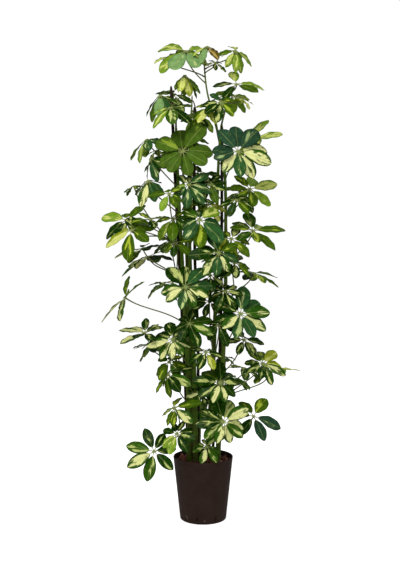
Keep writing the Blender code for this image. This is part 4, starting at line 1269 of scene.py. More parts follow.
class Sketch:
    """The bare mesh that a growth tree works on: lines for stalks and points for blades."""

    VECTORS = ("hub", "level", "axis", "bend", "form", "tone", "splash", "look", "stalk")

    def __init__(self) -> None:
        """Start empty."""
        self.points: Path = []
        self.edges: list[tuple[int, int]] = []
        self.values: dict[str, list[float]] = {name: [] for name in self.VECTORS}

    def spot(self, place: Vector, **given: Iterable[float]) -> None:
        """Add a point.

        Args:
            place: Where it is.
            given: Its vectors by name; those not given are zero.
        """
        self.points.append(place)
        for name in self.VECTORS:
            self.values[name].extend(given.get(name, (0.0, 0.0, 0.0)))

    def line(
        self, path: Path, radii: Iterable[float], pale: Iterable[float], age: float = 0.0,
        closed: bool = False,
    ) -> None:
        """Add a line.

        Args:
            path: Its points.
            radii: The rod's radius at each point.
            pale: How pale the rod is at each point, from 0 to 1.
            age: How brown it is.
            closed: Whether it ends where it starts.
        """
        first = len(self.points)
        knots = [(Vector(place), radius, tint) for place, radius, tint in zip(path, radii, pale)]
        if not closed:
            knots = rounded(rounded(knots))
        for place, radius, tint in knots:
            self.spot(place, stalk=(radius, tint, age))
        last = len(self.points)
        self.edges.extend((k, k + 1) for k in range(first, last - 1))
        if closed:
            self.edges.append((last - 1, first))

    def mesh(self, name: str) -> bpy.types.Mesh:
        """Turn the sketch into a mesh with named attributes.

        Args:
            name: The mesh's name.

        Returns:
            The mesh.
        """
        mesh = bpy.data.meshes.new(name)
        mesh.from_pydata([tuple(p) for p in self.points], self.edges, [])
        for key, numbers in self.values.items():
            layer = mesh.attributes.new(key, "FLOAT_VECTOR", "POINT")
            layer.data.foreach_set("vector", numbers)
        return mesh


def dress(piece: bpy.types.Object, cad_node: str, slot: str, sharp: float) -> None:
    """Smooth a finished piece, hide the CAD node that it replaces and hang it on its body.

    Args:
        piece: The piece.
        cad_node: The CAD node that it replaces.
        slot: Not used.
        sharp: The angle in degrees over which edges stay sharp.
    """
    mesh = piece.data
    mesh.shade_smooth()
    mesh.set_sharp_from_angle(angle=math.radians(sharp))
    for name in HELPERS:
        if name in mesh.attributes:
            mesh.attributes.remove(mesh.attributes[name])
    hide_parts(cad_node)
    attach(piece, ROOT)
    LOG.info("%s: %d faces for %s", piece.name, len(mesh.polygons), cad_node)


def plain_mesh(name: str, bm: bmesh.types.BMesh) -> bpy.types.Mesh:
    """Turn a bmesh into a mesh with its faces outwards and free the bmesh.

    Args:
        name: The mesh's name.
        bm: The bmesh.

    Returns:
        The mesh.
    """
    bmesh.ops.remove_doubles(bm, verts=bm.verts, dist=MERGE_DISTANCE)
    bmesh.ops.recalc_face_normals(bm, faces=bm.faces)
    mesh = bpy.data.meshes.new(name)
    bm.to_mesh(mesh)
    bm.free()
    return mesh


@dataclass
class Pot:
    """The tapered nursery pot, turned from one section, with slots low in its wall."""

    height: float = 190 * MM
    rim_radius: float = 90 * MM
    base_radius: float = 70 * MM
    wall: float = 2.4 * MM
    floor: float = 3.0 * MM
    corner: float = 4.0 * MM
    slots: int = 8
    slot_width: float = 4.0 * MM
    slot_low: float = 4.0 * MM
    slot_high: float = 17.0 * MM
    slot_turn: float = math.radians(-105)
    inner_rings: tuple[float, ...] = (20 * MM, 60 * MM, 100 * MM, 140 * MM, 184 * MM)
    upper_rings: tuple[float, ...] = (182 * MM, 181.4 * MM, 181 * MM)
    lower_rings: tuple[float, ...] = (140 * MM, 100 * MM, 60 * MM, 30 * MM, 8 * MM)
    groove: float = 0.4 * MM
    bead_steps: int = 6
    corner_steps: int = 5
    foot_ring: Span = (9 * MM, 11 * MM)
    foot_rise: float = 1.2 * MM
    sides: int = 96
    sharp_over: float = 35.0

    def inner_radius(self, height: float) -> float:
        """Return the inner wall's radius at a height."""
        low, foot = self.floor + self.wall, self.base_radius - self.wall
        return foot + (self.rim_radius - self.wall - foot) * (height - low) / (self.height - low)

    def outer_radius(self, height: float) -> float:
        """Return the outer wall's radius at a height."""
        share = (height - self.corner) / (self.height - self.corner)
        return self.base_radius + (self.rim_radius - self.base_radius) * share

    def profile(self) -> list[Span]:
        """Lay out the half section.

        Returns:
            Its radii and heights, from the inner floor over the rim to the underside's centre.
        """
        points = [(0.0, self.floor), (self.inner_radius(self.floor) - 2 * self.wall, self.floor)]
        points.append((self.inner_radius(self.floor + self.wall), self.floor + 1.5 * self.wall))
        points.extend((self.inner_radius(height), height) for height in self.inner_rings)
        bead = self.wall / 2
        centre = self.rim_radius - bead
        for step in range(self.bead_steps + 1):
            angle = math.pi * (1 - step / self.bead_steps)
            points.append((centre + bead * math.cos(angle), self.height - bead + bead * math.sin(angle)))
        # The middle one of the upper rings lies deeper, as the groove under the rim's band.
        for number, height in enumerate(self.upper_rings):
            points.append((self.outer_radius(height) - self.groove * (number == 1), height))
        points.extend((self.outer_radius(height), height) for height in self.lower_rings)
        for step in range(self.corner_steps + 1):
            angle = math.pi / 2 * step / self.corner_steps
            radius = self.base_radius - self.corner * (1 - math.cos(angle))
            points.append((radius, self.corner * (1 - math.sin(angle))))
        points.append((self.base_radius - self.foot_ring[0], 0.0))
        points.append((self.base_radius - self.foot_ring[1], self.foot_rise))
        return points + [(0.0, self.foot_rise)]

    def build(self, mat: bpy.types.Material) -> None:
        """Turn the section about the pot's axis, cut the slots and dress the pot.

        Args:
            mat: The pot's material.
        """
        bm = bmesh.new()
        verts = [bm.verts.new((radius, 0.0, height)) for radius, height in self.profile()]
        for low, high in zip(verts, verts[1:]):
            bm.edges.new((low, high))
        geometry = list(bm.verts) + list(bm.edges)
        bmesh.ops.spin(
            bm, geom=geometry, cent=(0, 0, 0), axis=(0, 0, 1), dvec=(0, 0, 0), angle=2 * math.pi,
            steps=self.sides, use_merge=True,
        )
        values = {
            "Slots": self.slots, "Ring Radius": self.base_radius, "First Turn": self.slot_turn,
            "Slot Width": self.slot_width, "Slot Height": self.slot_high - self.slot_low,
            "Slot Centre": (self.slot_high + self.slot_low) / 2, "Material": mat,
        }
        piece = SlotTree().grow("pot_body", plain_mesh("pot_wall", bm), values)
        dress(piece, "pot", "pot", self.sharp_over)


@dataclass
class PebbleBed:
    """The clay pebbles: a bed with a rough top and loose pebbles strewn over it."""

    pot: Pot
    level: float = 175.0 * MM
    clearance: float = 0.5 * MM
    wall_gap: float = 7.0 * MM
    rings: int = 14
    sides: int = 64
    bumps: Span = (-1.2 * MM, 0.8 * MM)
    foot_rise: float = 6 * MM
    foot_inset: float = 6 * MM
    foot_flare: float = 0.25
    sharp_over: float = 60.0
    seed: int = 21

    def bed(self) -> bpy.types.Mesh:
        """Make the bed under the loose pebbles.

        Returns:
            A closed solid with a rough top.
        """
        rng = random.Random(self.seed)
        bm = bmesh.new()
        radius = self.pot.inner_radius(self.level) - self.clearance
        inner = [bm.verts.new((0.0, 0.0, self.level))]
        for number in range(1, self.rings + 1):
            heights = [self.level] * self.sides
            if number < self.rings:
                heights = [height + rng.uniform(*self.bumps) for height in heights]
            inner = self.ring(bm, inner, radius * number / self.rings, heights)
        for height in (self.pot.floor + self.foot_rise, self.pot.floor + self.clearance):
            inset = self.foot_inset - height * self.foot_flare
            reach = self.pot.inner_radius(height) - self.clearance - inset
            inner = self.ring(bm, inner, reach, [height] * self.sides)
        bm.faces.new(inner[::-1])
        return plain_mesh("pebble_bed", bm)

    def ring(self, bm: bmesh.types.BMesh, inner: list, reach: float, heights: list[float]) -> list:
        """Add a ring of points and join it to the one before.

        Args:
            bm: Where it goes.
            inner: The points of the ring before, or the centre alone.
            reach: The ring's radius.
            heights: The height of each of its points.

        Returns:
            The ring's points.
        """
        outer = []
        for side, height in enumerate(heights):
            angle = 2 * math.pi * side / self.sides
            outer.append(bm.verts.new((reach * math.cos(angle), reach * math.sin(angle), height)))
        for side in range(self.sides):
            after = (side + 1) % self.sides
            if len(inner) == 1:
                bm.faces.new((inner[0], outer[side], outer[after]))
            else:
                bm.faces.new((inner[side], outer[side], outer[after], inner[after]))
        return outer

    def build(self, feet: Path, mat: bpy.types.Material) -> None:
        """Strew the pebbles clear of the rods and dress the bed.

        Args:
            feet: Where the rods pass the bed's top.
            mat: The pebbles' material.
        """
        marks = bpy.data.meshes.new("rod_feet")
        marks.from_pydata([(p.x, p.y, self.level) for p in feet], [], [])
        rods = bpy.data.objects.new("rod_feet", marks)
        bpy.context.scene.collection.objects.link(rods)
        radius = self.pot.inner_radius(self.level) - self.wall_gap
        values = {"Rods": rods, "Material": mat, "Bed Radius": radius}
        piece = PebbleTree().grow("clay_granulate", self.bed(), values)
        bpy.data.objects.remove(rods, do_unlink=True)
        dress(piece, "clay_pebbles", "pebbles", self.sharp_over)


@dataclass
class Framework:
    """The stakes, the stems and the shoots: where they run and how thick they are."""

    stake_radius: float = 4.5 * MM
    stake_tip: tuple[Span, ...] = ((2.0 * MM, 1.0), (0.6 * MM, 0.86), (0.0, 0.55))
    stem_radii: Span = (8.0 * MM, 3.6 * MM)
    crown_radii: Span = (3.5 * MM, 2.0 * MM)
    crown_start: float = 6.0 * MM
    spray_radius: float = 2.8 * MM
    spray_start: float = 4.0 * MM
    spray_taper: float = 0.8
    least_rise: float = 0.3 * MM
    seat_gap: float = 0.35 * MM
    seat_reach: float = 50 * MM
    stake_level: float = 12 * MM
    stem_level: float = 60 * MM
    straight_to: float = 190 * MM
    root_margin: float = 4.0 * MM
    paths: dict[str, Path] = field(default_factory=dict)
    shoots: dict[str, tuple[Path, list[float]]] = field(default_factory=dict)
    skins: dict[str, BVHTree] = field(default_factory=dict)

    def __post_init__(self) -> None:
        """Lay out every rod and shoot."""
        for name, knots in STAKES.items():
            self.paths[name] = self.rod_path(knots, self.stake_level)
        for name, knots in STEMS.items():
            self.paths[name] = self.rod_path(knots, self.stem_level)
            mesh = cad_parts["stem_" + name].data
            corners = [v.co for v in mesh.vertices]
            self.skins[name] = BVHTree.FromPolygons(corners, [tuple(p.vertices) for p in mesh.polygons])
        for name, (stem, knots) in CROWNS.items():
            self.shoots[name] = self.crown(stem, knots)
        for name, (stem, height, end) in SPRAYS.items():
            self.shoots[name] = self.spray(stem, height, end)

    def rod_path(self, knots: tuple, level: float) -> Path:
        """Return a rod's points: straight up out of the pebbles, then along its knots."""
        x, y, _ = Vector(knots[0]) * MM
        return [Vector((x, y, z)) for z in (level, self.straight_to)] + [Vector(k) * MM for k in knots[1:]]

    def stem_radius(self, path: Path, height: float) -> float:
        """Return a stem's radius at a height."""
        share = min(max((height - path[1].z) / (path[-1].z - path[1].z), 0.0), 1.0)
        return self.stem_radii[0] + (self.stem_radii[1] - self.stem_radii[0]) * share

    def point_at(self, path: Path, height: float) -> Vector:
        """Find the point of a rising path at a height.

        Args:
            path: The path.
            height: The height.

        Returns:
            The point, or the path's end if it doesn't reach so high.
        """
        for low, high in zip(path, path[1:]):
            rise = high.z - low.z
            if height <= high.z and rise > self.least_rise:
                return low.lerp(high, max(0.0, (height - low.z) / rise))
        return path[-1].copy()

    def seat_on(self, stem: str, axis_point: Vector, out: Vector, half: float) -> Vector:
        """Return the place just off a stem's surface where a foot of some half width is clear of it.

        Args:
            stem: The stem.
            axis_point: The point on its axis.
            out: The level direction that the shoot leaves in.
            half: The half width of the foot.

        Returns:
            The foot's centre.
        """
        side = out.cross(UP)
        reach = 0.0
        for across in (-half, 0.0, half):
            for rise in (-half, 0.0, half):
                start = axis_point + side * across + UP * rise + out * self.seat_reach
                hit = self.skins[stem].ray_cast(start, -out)[0]
                if hit is not None:
                    reach = max(reach, (hit - axis_point).dot(out))
        return axis_point + out * (reach + self.seat_gap)

    def crown(self, stem: str, knots: tuple) -> tuple[Path, list[float]]:
        """Lay out the green end of a stem.

        Args:
            stem: The stem.
            knots: The knots of its green end, in millimetres.

        Returns:
            Its points and its radii.
        """
        tip = self.paths[stem][-1]
        ahead = (tip - self.paths[stem][-2]).normalized()
        path = [tip + ahead * self.seat_gap, tip + ahead * self.crown_start]
        path += [Vector(knot) * MM for knot in knots]
        last = len(path) - 1
        thick, thin = self.crown_radii
        return path, [thick + (thin - thick) * k / last for k in range(last + 1)]

    def spray(self, stem: str, height: float, end: tuple) -> tuple[Path, list[float]]:
        """Lay out a side shoot.

        Args:
            stem: The stem that it leaves.
            height: The height that it starts at, in millimetres.
            end: Its end, in millimetres.

        Returns:
            Its points and its radii.
        """
        base = self.point_at(self.paths[stem], height * MM)
        tip = Vector(end) * MM
        out = ((tip - base) * LEVEL).normalized()
        foot = self.seat_on(stem, base, out, self.spray_radius)
        radii = [self.spray_radius * share for share in (1.0, 1.0, self.spray_taper)]
        return [foot, foot + out * self.spray_start, tip], radii

    def inner_path(self, name: str) -> Path:
        """Return the stretch of a shoot in which a petiole can be rooted."""
        path = self.shoots[name][0]
        return path[1:-1] + [path[-1] - (path[-1] - path[-2]).normalized() * self.root_margin]

    def build(self, rods: RodTree, wood: bpy.types.Material, bark: bpy.types.Material) -> None:
        """Sweep and dress the stakes and the stems.

        Args:
            rods: The tree that sweeps them.
            wood: The stakes' material.
            bark: The stems' material.
        """
        for name in STAKES:
            path = self.paths[name]
            tip = path[-1]
            ahead = (tip - path[-2]).normalized()
            line = path[:-1]
            radii = [self.stake_radius] * len(line)
            for back, share in self.stake_tip:
                line.append(tip - ahead * back)
                radii.append(self.stake_radius * share)
            sketch = Sketch()
            sketch.line(line, radii, [0.0] * len(line))
            values = {"Sides": 16, "Step Length": 0.012, "Roughness": 0.0006, "Material": wood}
            dress(rods.grow(name + "_stick", sketch.mesh(name), values), name, "stake", 40)
        for number, name in enumerate(STEMS):
            path = self.paths[name]
            sketch = Sketch()
            sketch.line(path, [self.stem_radius(path, p.z) for p in path], [0.0] * len(path))
            values = {
                "Sides": 18, "Step Length": 0.0045, "Ridge Spacing": 0.034, "Ridge Height": 0.0007,
                "Roughness": 0.0008, "Seed": float(number), "Material": bark,
            }
            dress(rods.grow(f"stem_{name}_bark", sketch.mesh(name), values), "stem_" + name, "bark", 60)


@dataclass
class Ties:
    """The wire ties: a loop round each stake and its stem, closed with a short twist."""

    framework: Framework
    radius: float = 1.0 * MM
    slack: float = 0.4 * MM
    arc_points: int = 9
    twist_length: float = 9 * MM
    twist_steps: int = 12
    twist_turns: float = 1.5
    twist_course: Triple = (0.0, -1.0, -0.25)
    strand_share: float = 0.8

    def build(self, rods: RodTree, mat: bpy.types.Material) -> None:
        """Sweep and dress each tie.

        Args:
            rods: The tree that sweeps it.
            mat: The wire's material.
        """
        frame_of = self.framework
        for name, (stake, stem, height) in TIES.items():
            level = height * MM
            path = frame_of.paths[stem]
            ends = (
                (frame_of.point_at(frame_of.paths[stake], level), frame_of.stake_radius),
                (frame_of.point_at(path, level), frame_of.stem_radius(path, level)),
            )
            loop: Path = []
            for (here, radius), (there, _) in (ends, ends[::-1]):
                away = here - there
                heading = math.atan2(away.y, away.x)
                reach = radius + self.slack + self.radius
                for step in range(self.arc_points):
                    angle = heading - math.pi / 2 + math.pi * step / (self.arc_points - 1)
                    arm = Vector((math.cos(angle), math.sin(angle), 0.0)) * reach
                    loop.append(Vector((here.x, here.y, level)) + arm)
            sketch = Sketch()
            sketch.line(loop, [self.radius] * len(loop), [0.0] * len(loop), closed=True)
            for phase in (0.0, math.pi):
                self.twist(sketch, loop[2 * self.arc_points - 2], phase)
            values = {"Sides": 8, "Step Length": 0.0015, "Material": mat}
            dress(rods.grow(name + "_wire", sketch.mesh(name), values), name, "tie", 60)

    def twist(self, sketch: Sketch, start: Vector, phase: float) -> None:
        """Add one strand of the twisted end, which points to the front.

        Args:
            sketch: Where the strand goes.
            start: The place on the loop.
            phase: The strand's turn.
        """
        strand: Path = []
        thin = self.strand_share * self.radius
        for step in range(self.twist_steps + 1):
            share = step / self.twist_steps
            angle = phase + 2 * math.pi * self.twist_turns * share
            swing = Vector((math.cos(angle), 0.0, math.sin(angle))) * thin
            strand.append(start + swing + Vector(self.twist_course) * (self.twist_length * share))
        sketch.line(strand, [thin] * len(strand), [0.0] * len(strand))


class Leaflet(NamedTuple):
    """A leaflet: its turn round the hub, its hang and its curl in radians, and its length."""

    turn: float
    hang: float
    curl: float
    length: float


@dataclass
class LeafForm:
    """The shape of one compound leaf at one place."""

    leaf: Leaf
    seed: int
    hub: Vector
    foot: Vector
    out: Vector
    hub_radius: float = 4.0 * MM
    neck: float = 6.5 * MM
    stalk_share: float = 0.12
    arch: Span = (0.34, 0.30)
    rise: float = 0.80
    turn_spread: float = 6.0
    layer_hang: float = 9.0
    hang_spread: float = 4.0
    curls: Span = (12.0, 34.0)
    side_share: float = 0.85
    lengths: Span = (0.93, 1.0)

    def __post_init__(self) -> None:
        """Set up the leaf's own axes and draw its leaflets."""
        lean = math.radians(self.leaf.lean)
        facing = math.radians(self.leaf.facing)
        sideways = Vector((math.sin(facing), -math.cos(facing), 0.0))
        self.axis = sideways * math.sin(lean) + UP * math.cos(lean)
        outward = self.hub - self.foot
        self.ahead = (outward - self.axis * outward.dot(self.axis)).normalized()
        self.across = self.axis.cross(self.ahead)
        rng = random.Random(self.seed)
        count = self.leaf.blades
        self.plan: list[Leaflet] = []
        for index in range(count):
            even = 2 * math.pi * (index + 0.5) / count - math.pi
            turn = even + math.radians(rng.uniform(-self.turn_spread, self.turn_spread))
            layer = 0 if count % 2 and index == count - 1 else self.layer_hang * (-1) ** index
            spread = rng.uniform(-self.hang_spread, self.hang_spread)
            hang = math.radians(self.leaf.droop + layer + spread)
            curl = math.radians(rng.uniform(*self.curls))
            share = self.side_share + (1.0 - self.side_share) * math.cos(turn)
            length = self.leaf.reach * MM * share * rng.uniform(*self.lengths)
            self.plan.append(Leaflet(turn, hang, curl, length))

    def level(self, turn: float) -> Vector:
        """Return the direction that a leaflet leaves the hub in."""
        return self.ahead * math.cos(turn) + self.across * math.sin(turn)

    def spine(self, item: Leaflet, distance: float) -> Vector:
        """Find a point of a leaflet's spine.

        Args:
            item: The leaflet.
            distance: How far the point is from the hub's rim, along the spine.

        Returns:
            The point.
        """
        turn, hang, curl, length = item
        bend = curl / length
        angle = hang + bend * distance
        along = (math.sin(angle) - math.sin(hang)) / bend
        down = (math.cos(hang) - math.cos(angle)) / bend
        return self.hub + self.level(turn) * (self.hub_radius + along) - self.axis * down

    def tips(self) -> Path:
        """Return the tips of the leaflets."""
        return [self.spine(item, item.length - self.hub_radius) for item in self.plan]

    def petiole(self, count: int) -> Path:
        """Lay out the petiole, from its foot to under the hub.

        Args:
            count: The number of its stretches.

        Returns:
            Its points.
        """
        neck = self.hub - self.axis * self.neck
        span = (neck - self.foot).length
        first = self.foot + (self.out + UP * self.rise).normalized() * (self.arch[0] * span)
        second = neck - self.axis * (self.arch[1] * span)
        points = []
        for index in range(count + 1):
            t = index / count
            u = 1 - t
            lower = self.foot * u ** 3 + first * (3 * u * u * t)
            points.append(lower + second * (3 * u * t * t) + neck * t ** 3)
        return points


@dataclass(frozen=True)
class BackRule:
    """The rule for the leaves behind the stems, in millimetres and degrees."""

    seed: int = 11
    count: int = 8
    carriers: tuple[str, ...] = ("back_left", "back_right")
    lowest: int = 330
    spacing: int = 92
    height_spread: int = 12
    turn_spread: int = 40
    outward_turn: int = 25
    distances: tuple[int, int] = (130, 200)
    stem_depth: int = 30
    reaches: tuple[int, int] = (72, 90)
    blades: tuple[int, ...] = (6, 7, 7, 8)
    drops: tuple[int, int] = (45, 80)
    leans: tuple[int, int] = (20, 38)
    droops: tuple[int, int] = (6, 24)
    tones: tuple[str, ...] = ("DARK", "MID", "OLIVE")

    def leaves(self) -> list[Leaf]:
        """Draw the leaves from bottom to top, left and right in turn.

        Returns:
            The leaves.
        """
        rng = random.Random(self.seed)
        leaves = []
        for index in range(self.count):
            right = index % 2
            rise = rng.randint(-self.height_spread, self.height_spread)
            height = self.lowest + self.spacing * index + rise
            turn = rng.randint(-self.turn_spread, self.turn_spread)
            turn += self.outward_turn if right else -self.outward_turn
            distance = rng.randint(*self.distances)
            side = round(distance * math.sin(math.radians(turn)))
            depth = self.stem_depth + round(distance * math.cos(math.radians(turn)))
            reach = rng.randint(*self.reaches)
            blades = rng.choice(self.blades)
            start = height - rng.randint(*self.drops)
            stance = (rng.randint(*self.leans), 180 - turn, reach, blades, rng.randint(*self.droops))
            tone = self.tones[index % len(self.tones)]
            leaves.append(Leaf(self.carriers[right], side, depth, height, start, *stance, tone))
        return leaves


@dataclass
class Foliage:
    """The compound leaves and the shoots that carry them."""

    framework: Framework
    petiole_radius: float = 1.9 * MM
    sheath_radius: float = 3.0 * MM
    knuckle_radius: float = 3.4 * MM
    stalklet_radius: float = 1.15 * MM
    tip_taper: float = 1.53
    broad_taper: float = 1.7
    root_depth: float = 1.2 * MM
    petiole_steps: int = 8
    sheath: Span = (5.0 * MM, 0.8)
    neck_swell: float = 1.25
    # Each row says how far along it is, how thick and how pale.
    knuckle: tuple[Triple, ...] = ((-2.6 * MM, 0.9, 0.4), (-0.2 * MM, 1.0, 0.5), (1.2 * MM, 0.55, 0.5))
    bud: tuple[Triple, ...] = ((2.5 * MM, 1.15, 0.25), (6.0 * MM, 0.8, 0.35), (10.0 * MM, 0.15, 0.45))
    stalklet: tuple[Triple, ...] = ((-0.25, 1.7, 0.5), (0.15, 1.35, 0.5), (0.55, 1.0, 0.45), (1.0, 1.0, 0.4))
    stalklet_end: Span = (0.5, 0.3)
    stalklet_reach: Span = (4.0 * MM, 0.5 * MM)
    spray_root: float = 1.5 * MM
    crown_root: float = 3.0 * MM
    base_pale: float = 0.05
    neck_pale: float = 0.3
    shoot_age: float = 0.2
    halves: tuple[float, ...] = (0.0, 0.0, 0.7, -0.7, 0.4, -0.4)
    share_spread: float = 0.2
    shades: Span = (0.82, 1.18)
    accent_reach: float = 32.0
    match_limit: float = 0.5 * MM
    # Millimetres that a hub may lie deeper and a petiole start higher than its row in LEAVES says.
    depth_steps: tuple[int, ...] = (0, 10, -10, 20, -20, 32, -32, 45, -45, 60, -60, 75, -75)
    start_steps: tuple[int, ...] = (0, 14, -14, 28, -28)
    columns: tuple[float, ...] = (-1.0, 0.0, 1.0)
    row_count: int = 16
    first_draw: int = 1000
    first_sway: int = 11
    sharp_over: float = 70.0

    def leaflet(self) -> bpy.types.Object:
        """Make the flat pattern of a leaflet.

        Returns:
            A closed skin whose points know their place on the blade.
        """
        rows = [(1.0 - math.cos(math.pi * k / self.row_count)) / 2 for k in range(self.row_count)]
        bm = bmesh.new()
        layer = bm.verts.layers.float_vector.new("blade")
        tip = bm.verts.new((0.0, 1.0, 0.0))
        tip[layer] = (0.0, 1.0, 0.0)
        verts = {}
        for face in (1.0, -1.0):
            for row in rows:
                for column in self.columns:
                    on_margin = abs(column) == 1.0 or row == 0.0
                    if on_margin and face < 0:
                        verts[face, row, column] = verts[1.0, row, column]
                        continue
                    vert = bm.verts.new((column, row, 0.0))
                    vert[layer] = (column, row, 0.0 if on_margin else face)
                    verts[face, row, column] = vert
            for left, right in zip(self.columns, self.columns[1:]):
                for low, high in zip(rows, rows[1:]):
                    spots = ((low, left), (low, right), (high, right), (high, left))
                    ring = [verts[face, *spot] for spot in spots]
                    bm.faces.new(ring if face > 0 else ring[::-1])
                ring = [verts[face, rows[-1], left], verts[face, rows[-1], right], tip]
                bm.faces.new(ring if face > 0 else ring[::-1])
        mesh = bpy.data.meshes.new("leaflet_pattern")
        bm.to_mesh(mesh)
        bm.free()
        ob = bpy.data.objects.new("leaflet_pattern", mesh)
        bpy.context.scene.collection.objects.link(ob)
        return ob

    def settle(self, leaf: Leaf, seed: int, corners: KDTree) -> LeafForm:
        """Find the place that the frame gives a leaf.

        Args:
            leaf: The leaf.
            seed: Its number.
            corners: A search tree over its node's corners.

        Returns:
            The form whose leaflet tips lie on the node's corners.
        """
        work = self.framework
        best: tuple[float, LeafForm] | None = None
        for depth in self.depth_steps:
            for start in self.start_steps:
                hub = Vector((leaf.side, leaf.depth + depth, leaf.height)) * MM
                height = (leaf.start + start) * MM
                on_shoot = leaf.carrier in work.shoots
                path = work.inner_path(leaf.carrier) if on_shoot else work.paths[leaf.carrier]
                root = work.point_at(path, height)
                out = Vector((hub.x - root.x, hub.y - root.y, 0.0)).normalized()
                foot = root if on_shoot else work.seat_on(leaf.carrier, root, out, self.petiole_radius)
                form = LeafForm(leaf, seed, hub, foot, out)
                miss = sum(corners.find(tip)[2] for tip in form.tips()) / leaf.blades
                if best is None or miss < best[0]:
                    best = (miss, form)
        if best[0] > self.match_limit:
            LOG.warning("leaf %d is %.2f mm off its node", seed, best[0] / MM)
        return best[1]

    def tones(self, form: LeafForm) -> list[Tone]:
        """Choose the tone of each leaflet by where it points.

        Args:
            form: The leaf's form.

        Returns:
            A tone for each leaflet.
        """
        accents = {}
        for entry in filter(None, form.leaf.accents.split(", ")):
            tone, *ways = entry.split(" ")
            accents.update((Compass[way].value, Tone[tone]) for way in ways)
        chosen = []
        for item in form.plan:
            level = form.level(item.turn)
            angle = math.degrees(math.atan2(level.z, level.x)) % 360
            gaps = {way: abs((angle - way + 180) % 360 - 180) for way in accents}
            near = min(gaps, key=gaps.get, default=None)
            if near is not None and gaps[near] <= self.accent_reach:
                chosen.append(accents[near])
            else:
                chosen.append(Tone[form.leaf.tone])
        return chosen

    def draw_leaf(self, sketch: Sketch, form: LeafForm) -> None:
        """Add a leaf's petiole and its leaflets to a sketch.

        Args:
            sketch: Where they go.
            form: The leaf's form.
        """
        rng = random.Random(self.first_draw + form.seed)
        path = form.petiole(self.petiole_steps)
        path[0] = path[0] - form.out * self.root_depth
        sheath_length, sheath_taper = self.sheath
        line = [path[0], path[0] + (path[1] - path[0]).normalized() * sheath_length] + path[1:]
        radii = [self.sheath_radius, sheath_taper * self.sheath_radius]
        radii += [self.petiole_radius] * (len(path) - 2) + [self.neck_swell * self.petiole_radius]
        pale = [self.base_pale] * 2
        pale += [self.base_pale + self.neck_pale * (k / len(path)) ** 2 for k in range(len(path) - 1)]
        for rise, share, tint in self.knuckle:
            line.append(form.hub + form.axis * rise)
            radii.append(share * self.knuckle_radius)
            pale.append(tint)
        age = rng.uniform(0.0, 1.0)
        sketch.line(line, radii, pale, age)
        for item, tone in zip(form.plan, self.tones(form)):
            self.draw_stalklet(sketch, form, item, age)
            half = rng.choice(self.halves)
            share = min(1.0, tone.share + rng.uniform(-self.share_spread, self.share_spread))
            shade = rng.uniform(*self.shades)
            shape = (form.leaf.aspect, self.tip_taper - self.broad_taper * form.leaf.aspect, 0.0)
            sketch.spot(
                form.hub, hub=form.hub, level=form.level(item.turn), axis=form.axis,
                bend=(item.hang, item.curl, item.length), form=shape, tone=[c * shade for c in tone.green],
                splash=tone.splash, look=(share, half, rng.uniform(0.0, 10.0)),
            )

    def draw_stalklet(self, sketch: Sketch, form: LeafForm, item: Leaflet, age: float) -> None:
        """Add the short stalk of a leaflet to a sketch.

        Args:
            sketch: Where it goes.
            form: The leaf's form.
            item: The leaflet.
            age: How brown the stalk is.
        """
        stalk = form.stalk_share * item.length
        past, dip = self.stalklet_reach
        knots = [form.spine(item, stalk * share) for share, _, _ in self.stalklet]
        knots.append(form.spine(item, stalk + past) - form.axis * dip)
        ends = [(swell, tint) for _, swell, tint in self.stalklet] + [self.stalklet_end]
        radii = [swell * self.stalklet_radius for swell, _ in ends]
        sketch.line(knots, radii, [tint for _, tint in ends], age)

    def draw_shoot(self, sketch: Sketch, name: str) -> None:
        """Add a shoot and the bud at its end to a sketch.

        Args:
            sketch: Where they go.
            name: The shoot.
        """
        path, radii = self.framework.shoots[name]
        depth = self.spray_root if name in SPRAYS else self.crown_root
        ahead = (path[-1] - path[-2]).normalized()
        line = [path[0] - (path[1] - path[0]).normalized() * depth] + path[1:]
        line += [path[-1] + ahead * past for past, _, _ in self.bud]
        wide = list(radii) + [radii[-1] * swell for _, swell, _ in self.bud]
        pale = [self.base_pale] * len(path) + [tint for _, _, tint in self.bud]
        sketch.line(line, wide, pale, self.shoot_age)

    @staticmethod
    def corners_of(name: str) -> KDTree:
        """Make a search tree over the corners of a CAD node.

        Args:
            name: The node.

        Returns:
            The tree.
        """
        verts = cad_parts[name].data.vertices
        corners = KDTree(len(verts))
        for vert in verts:
            corners.insert(vert.co, vert.index)
        corners.balance()
        return corners

    def build(self, mats: dict[str, bpy.types.Material]) -> None:
        """Grow and dress every leaf and shoot.

        Args:
            mats: The materials blade and stalk.
        """
        tree = LeafTree()
        pattern = self.leaflet()
        sketches: dict[str, Sketch] = {name: Sketch() for name in self.framework.shoots}
        corners: dict[str, KDTree] = {}
        number = 0
        for seed, leaf in enumerate([*LEAVES, *BackRule().leaves()]):
            name = leaf.carrier
            if name not in self.framework.shoots:
                number += 1
                name = f"leaf_{number:02d}"
                sketches[name] = Sketch()
            if name not in corners:
                corners[name] = self.corners_of(name)
            self.draw_leaf(sketches[name], self.settle(leaf, seed, corners[name]))
        for order, (name, sketch) in enumerate(sketches.items()):
            if name in self.framework.shoots:
                self.draw_shoot(sketch, name)
            values = {
                "Leaflet": pattern, "Blade Material": mats["blade"], "Stalk Material": mats["stalk"],
                "Seed": self.first_sway + order,
            }
            piece = tree.grow(name + "_foliage", sketch.mesh(name), values)
            dress(piece, name, "young_leaf" if name in CROWNS else "leaf", self.sharp_over)
        bpy.data.objects.remove(pattern, do_unlink=True)


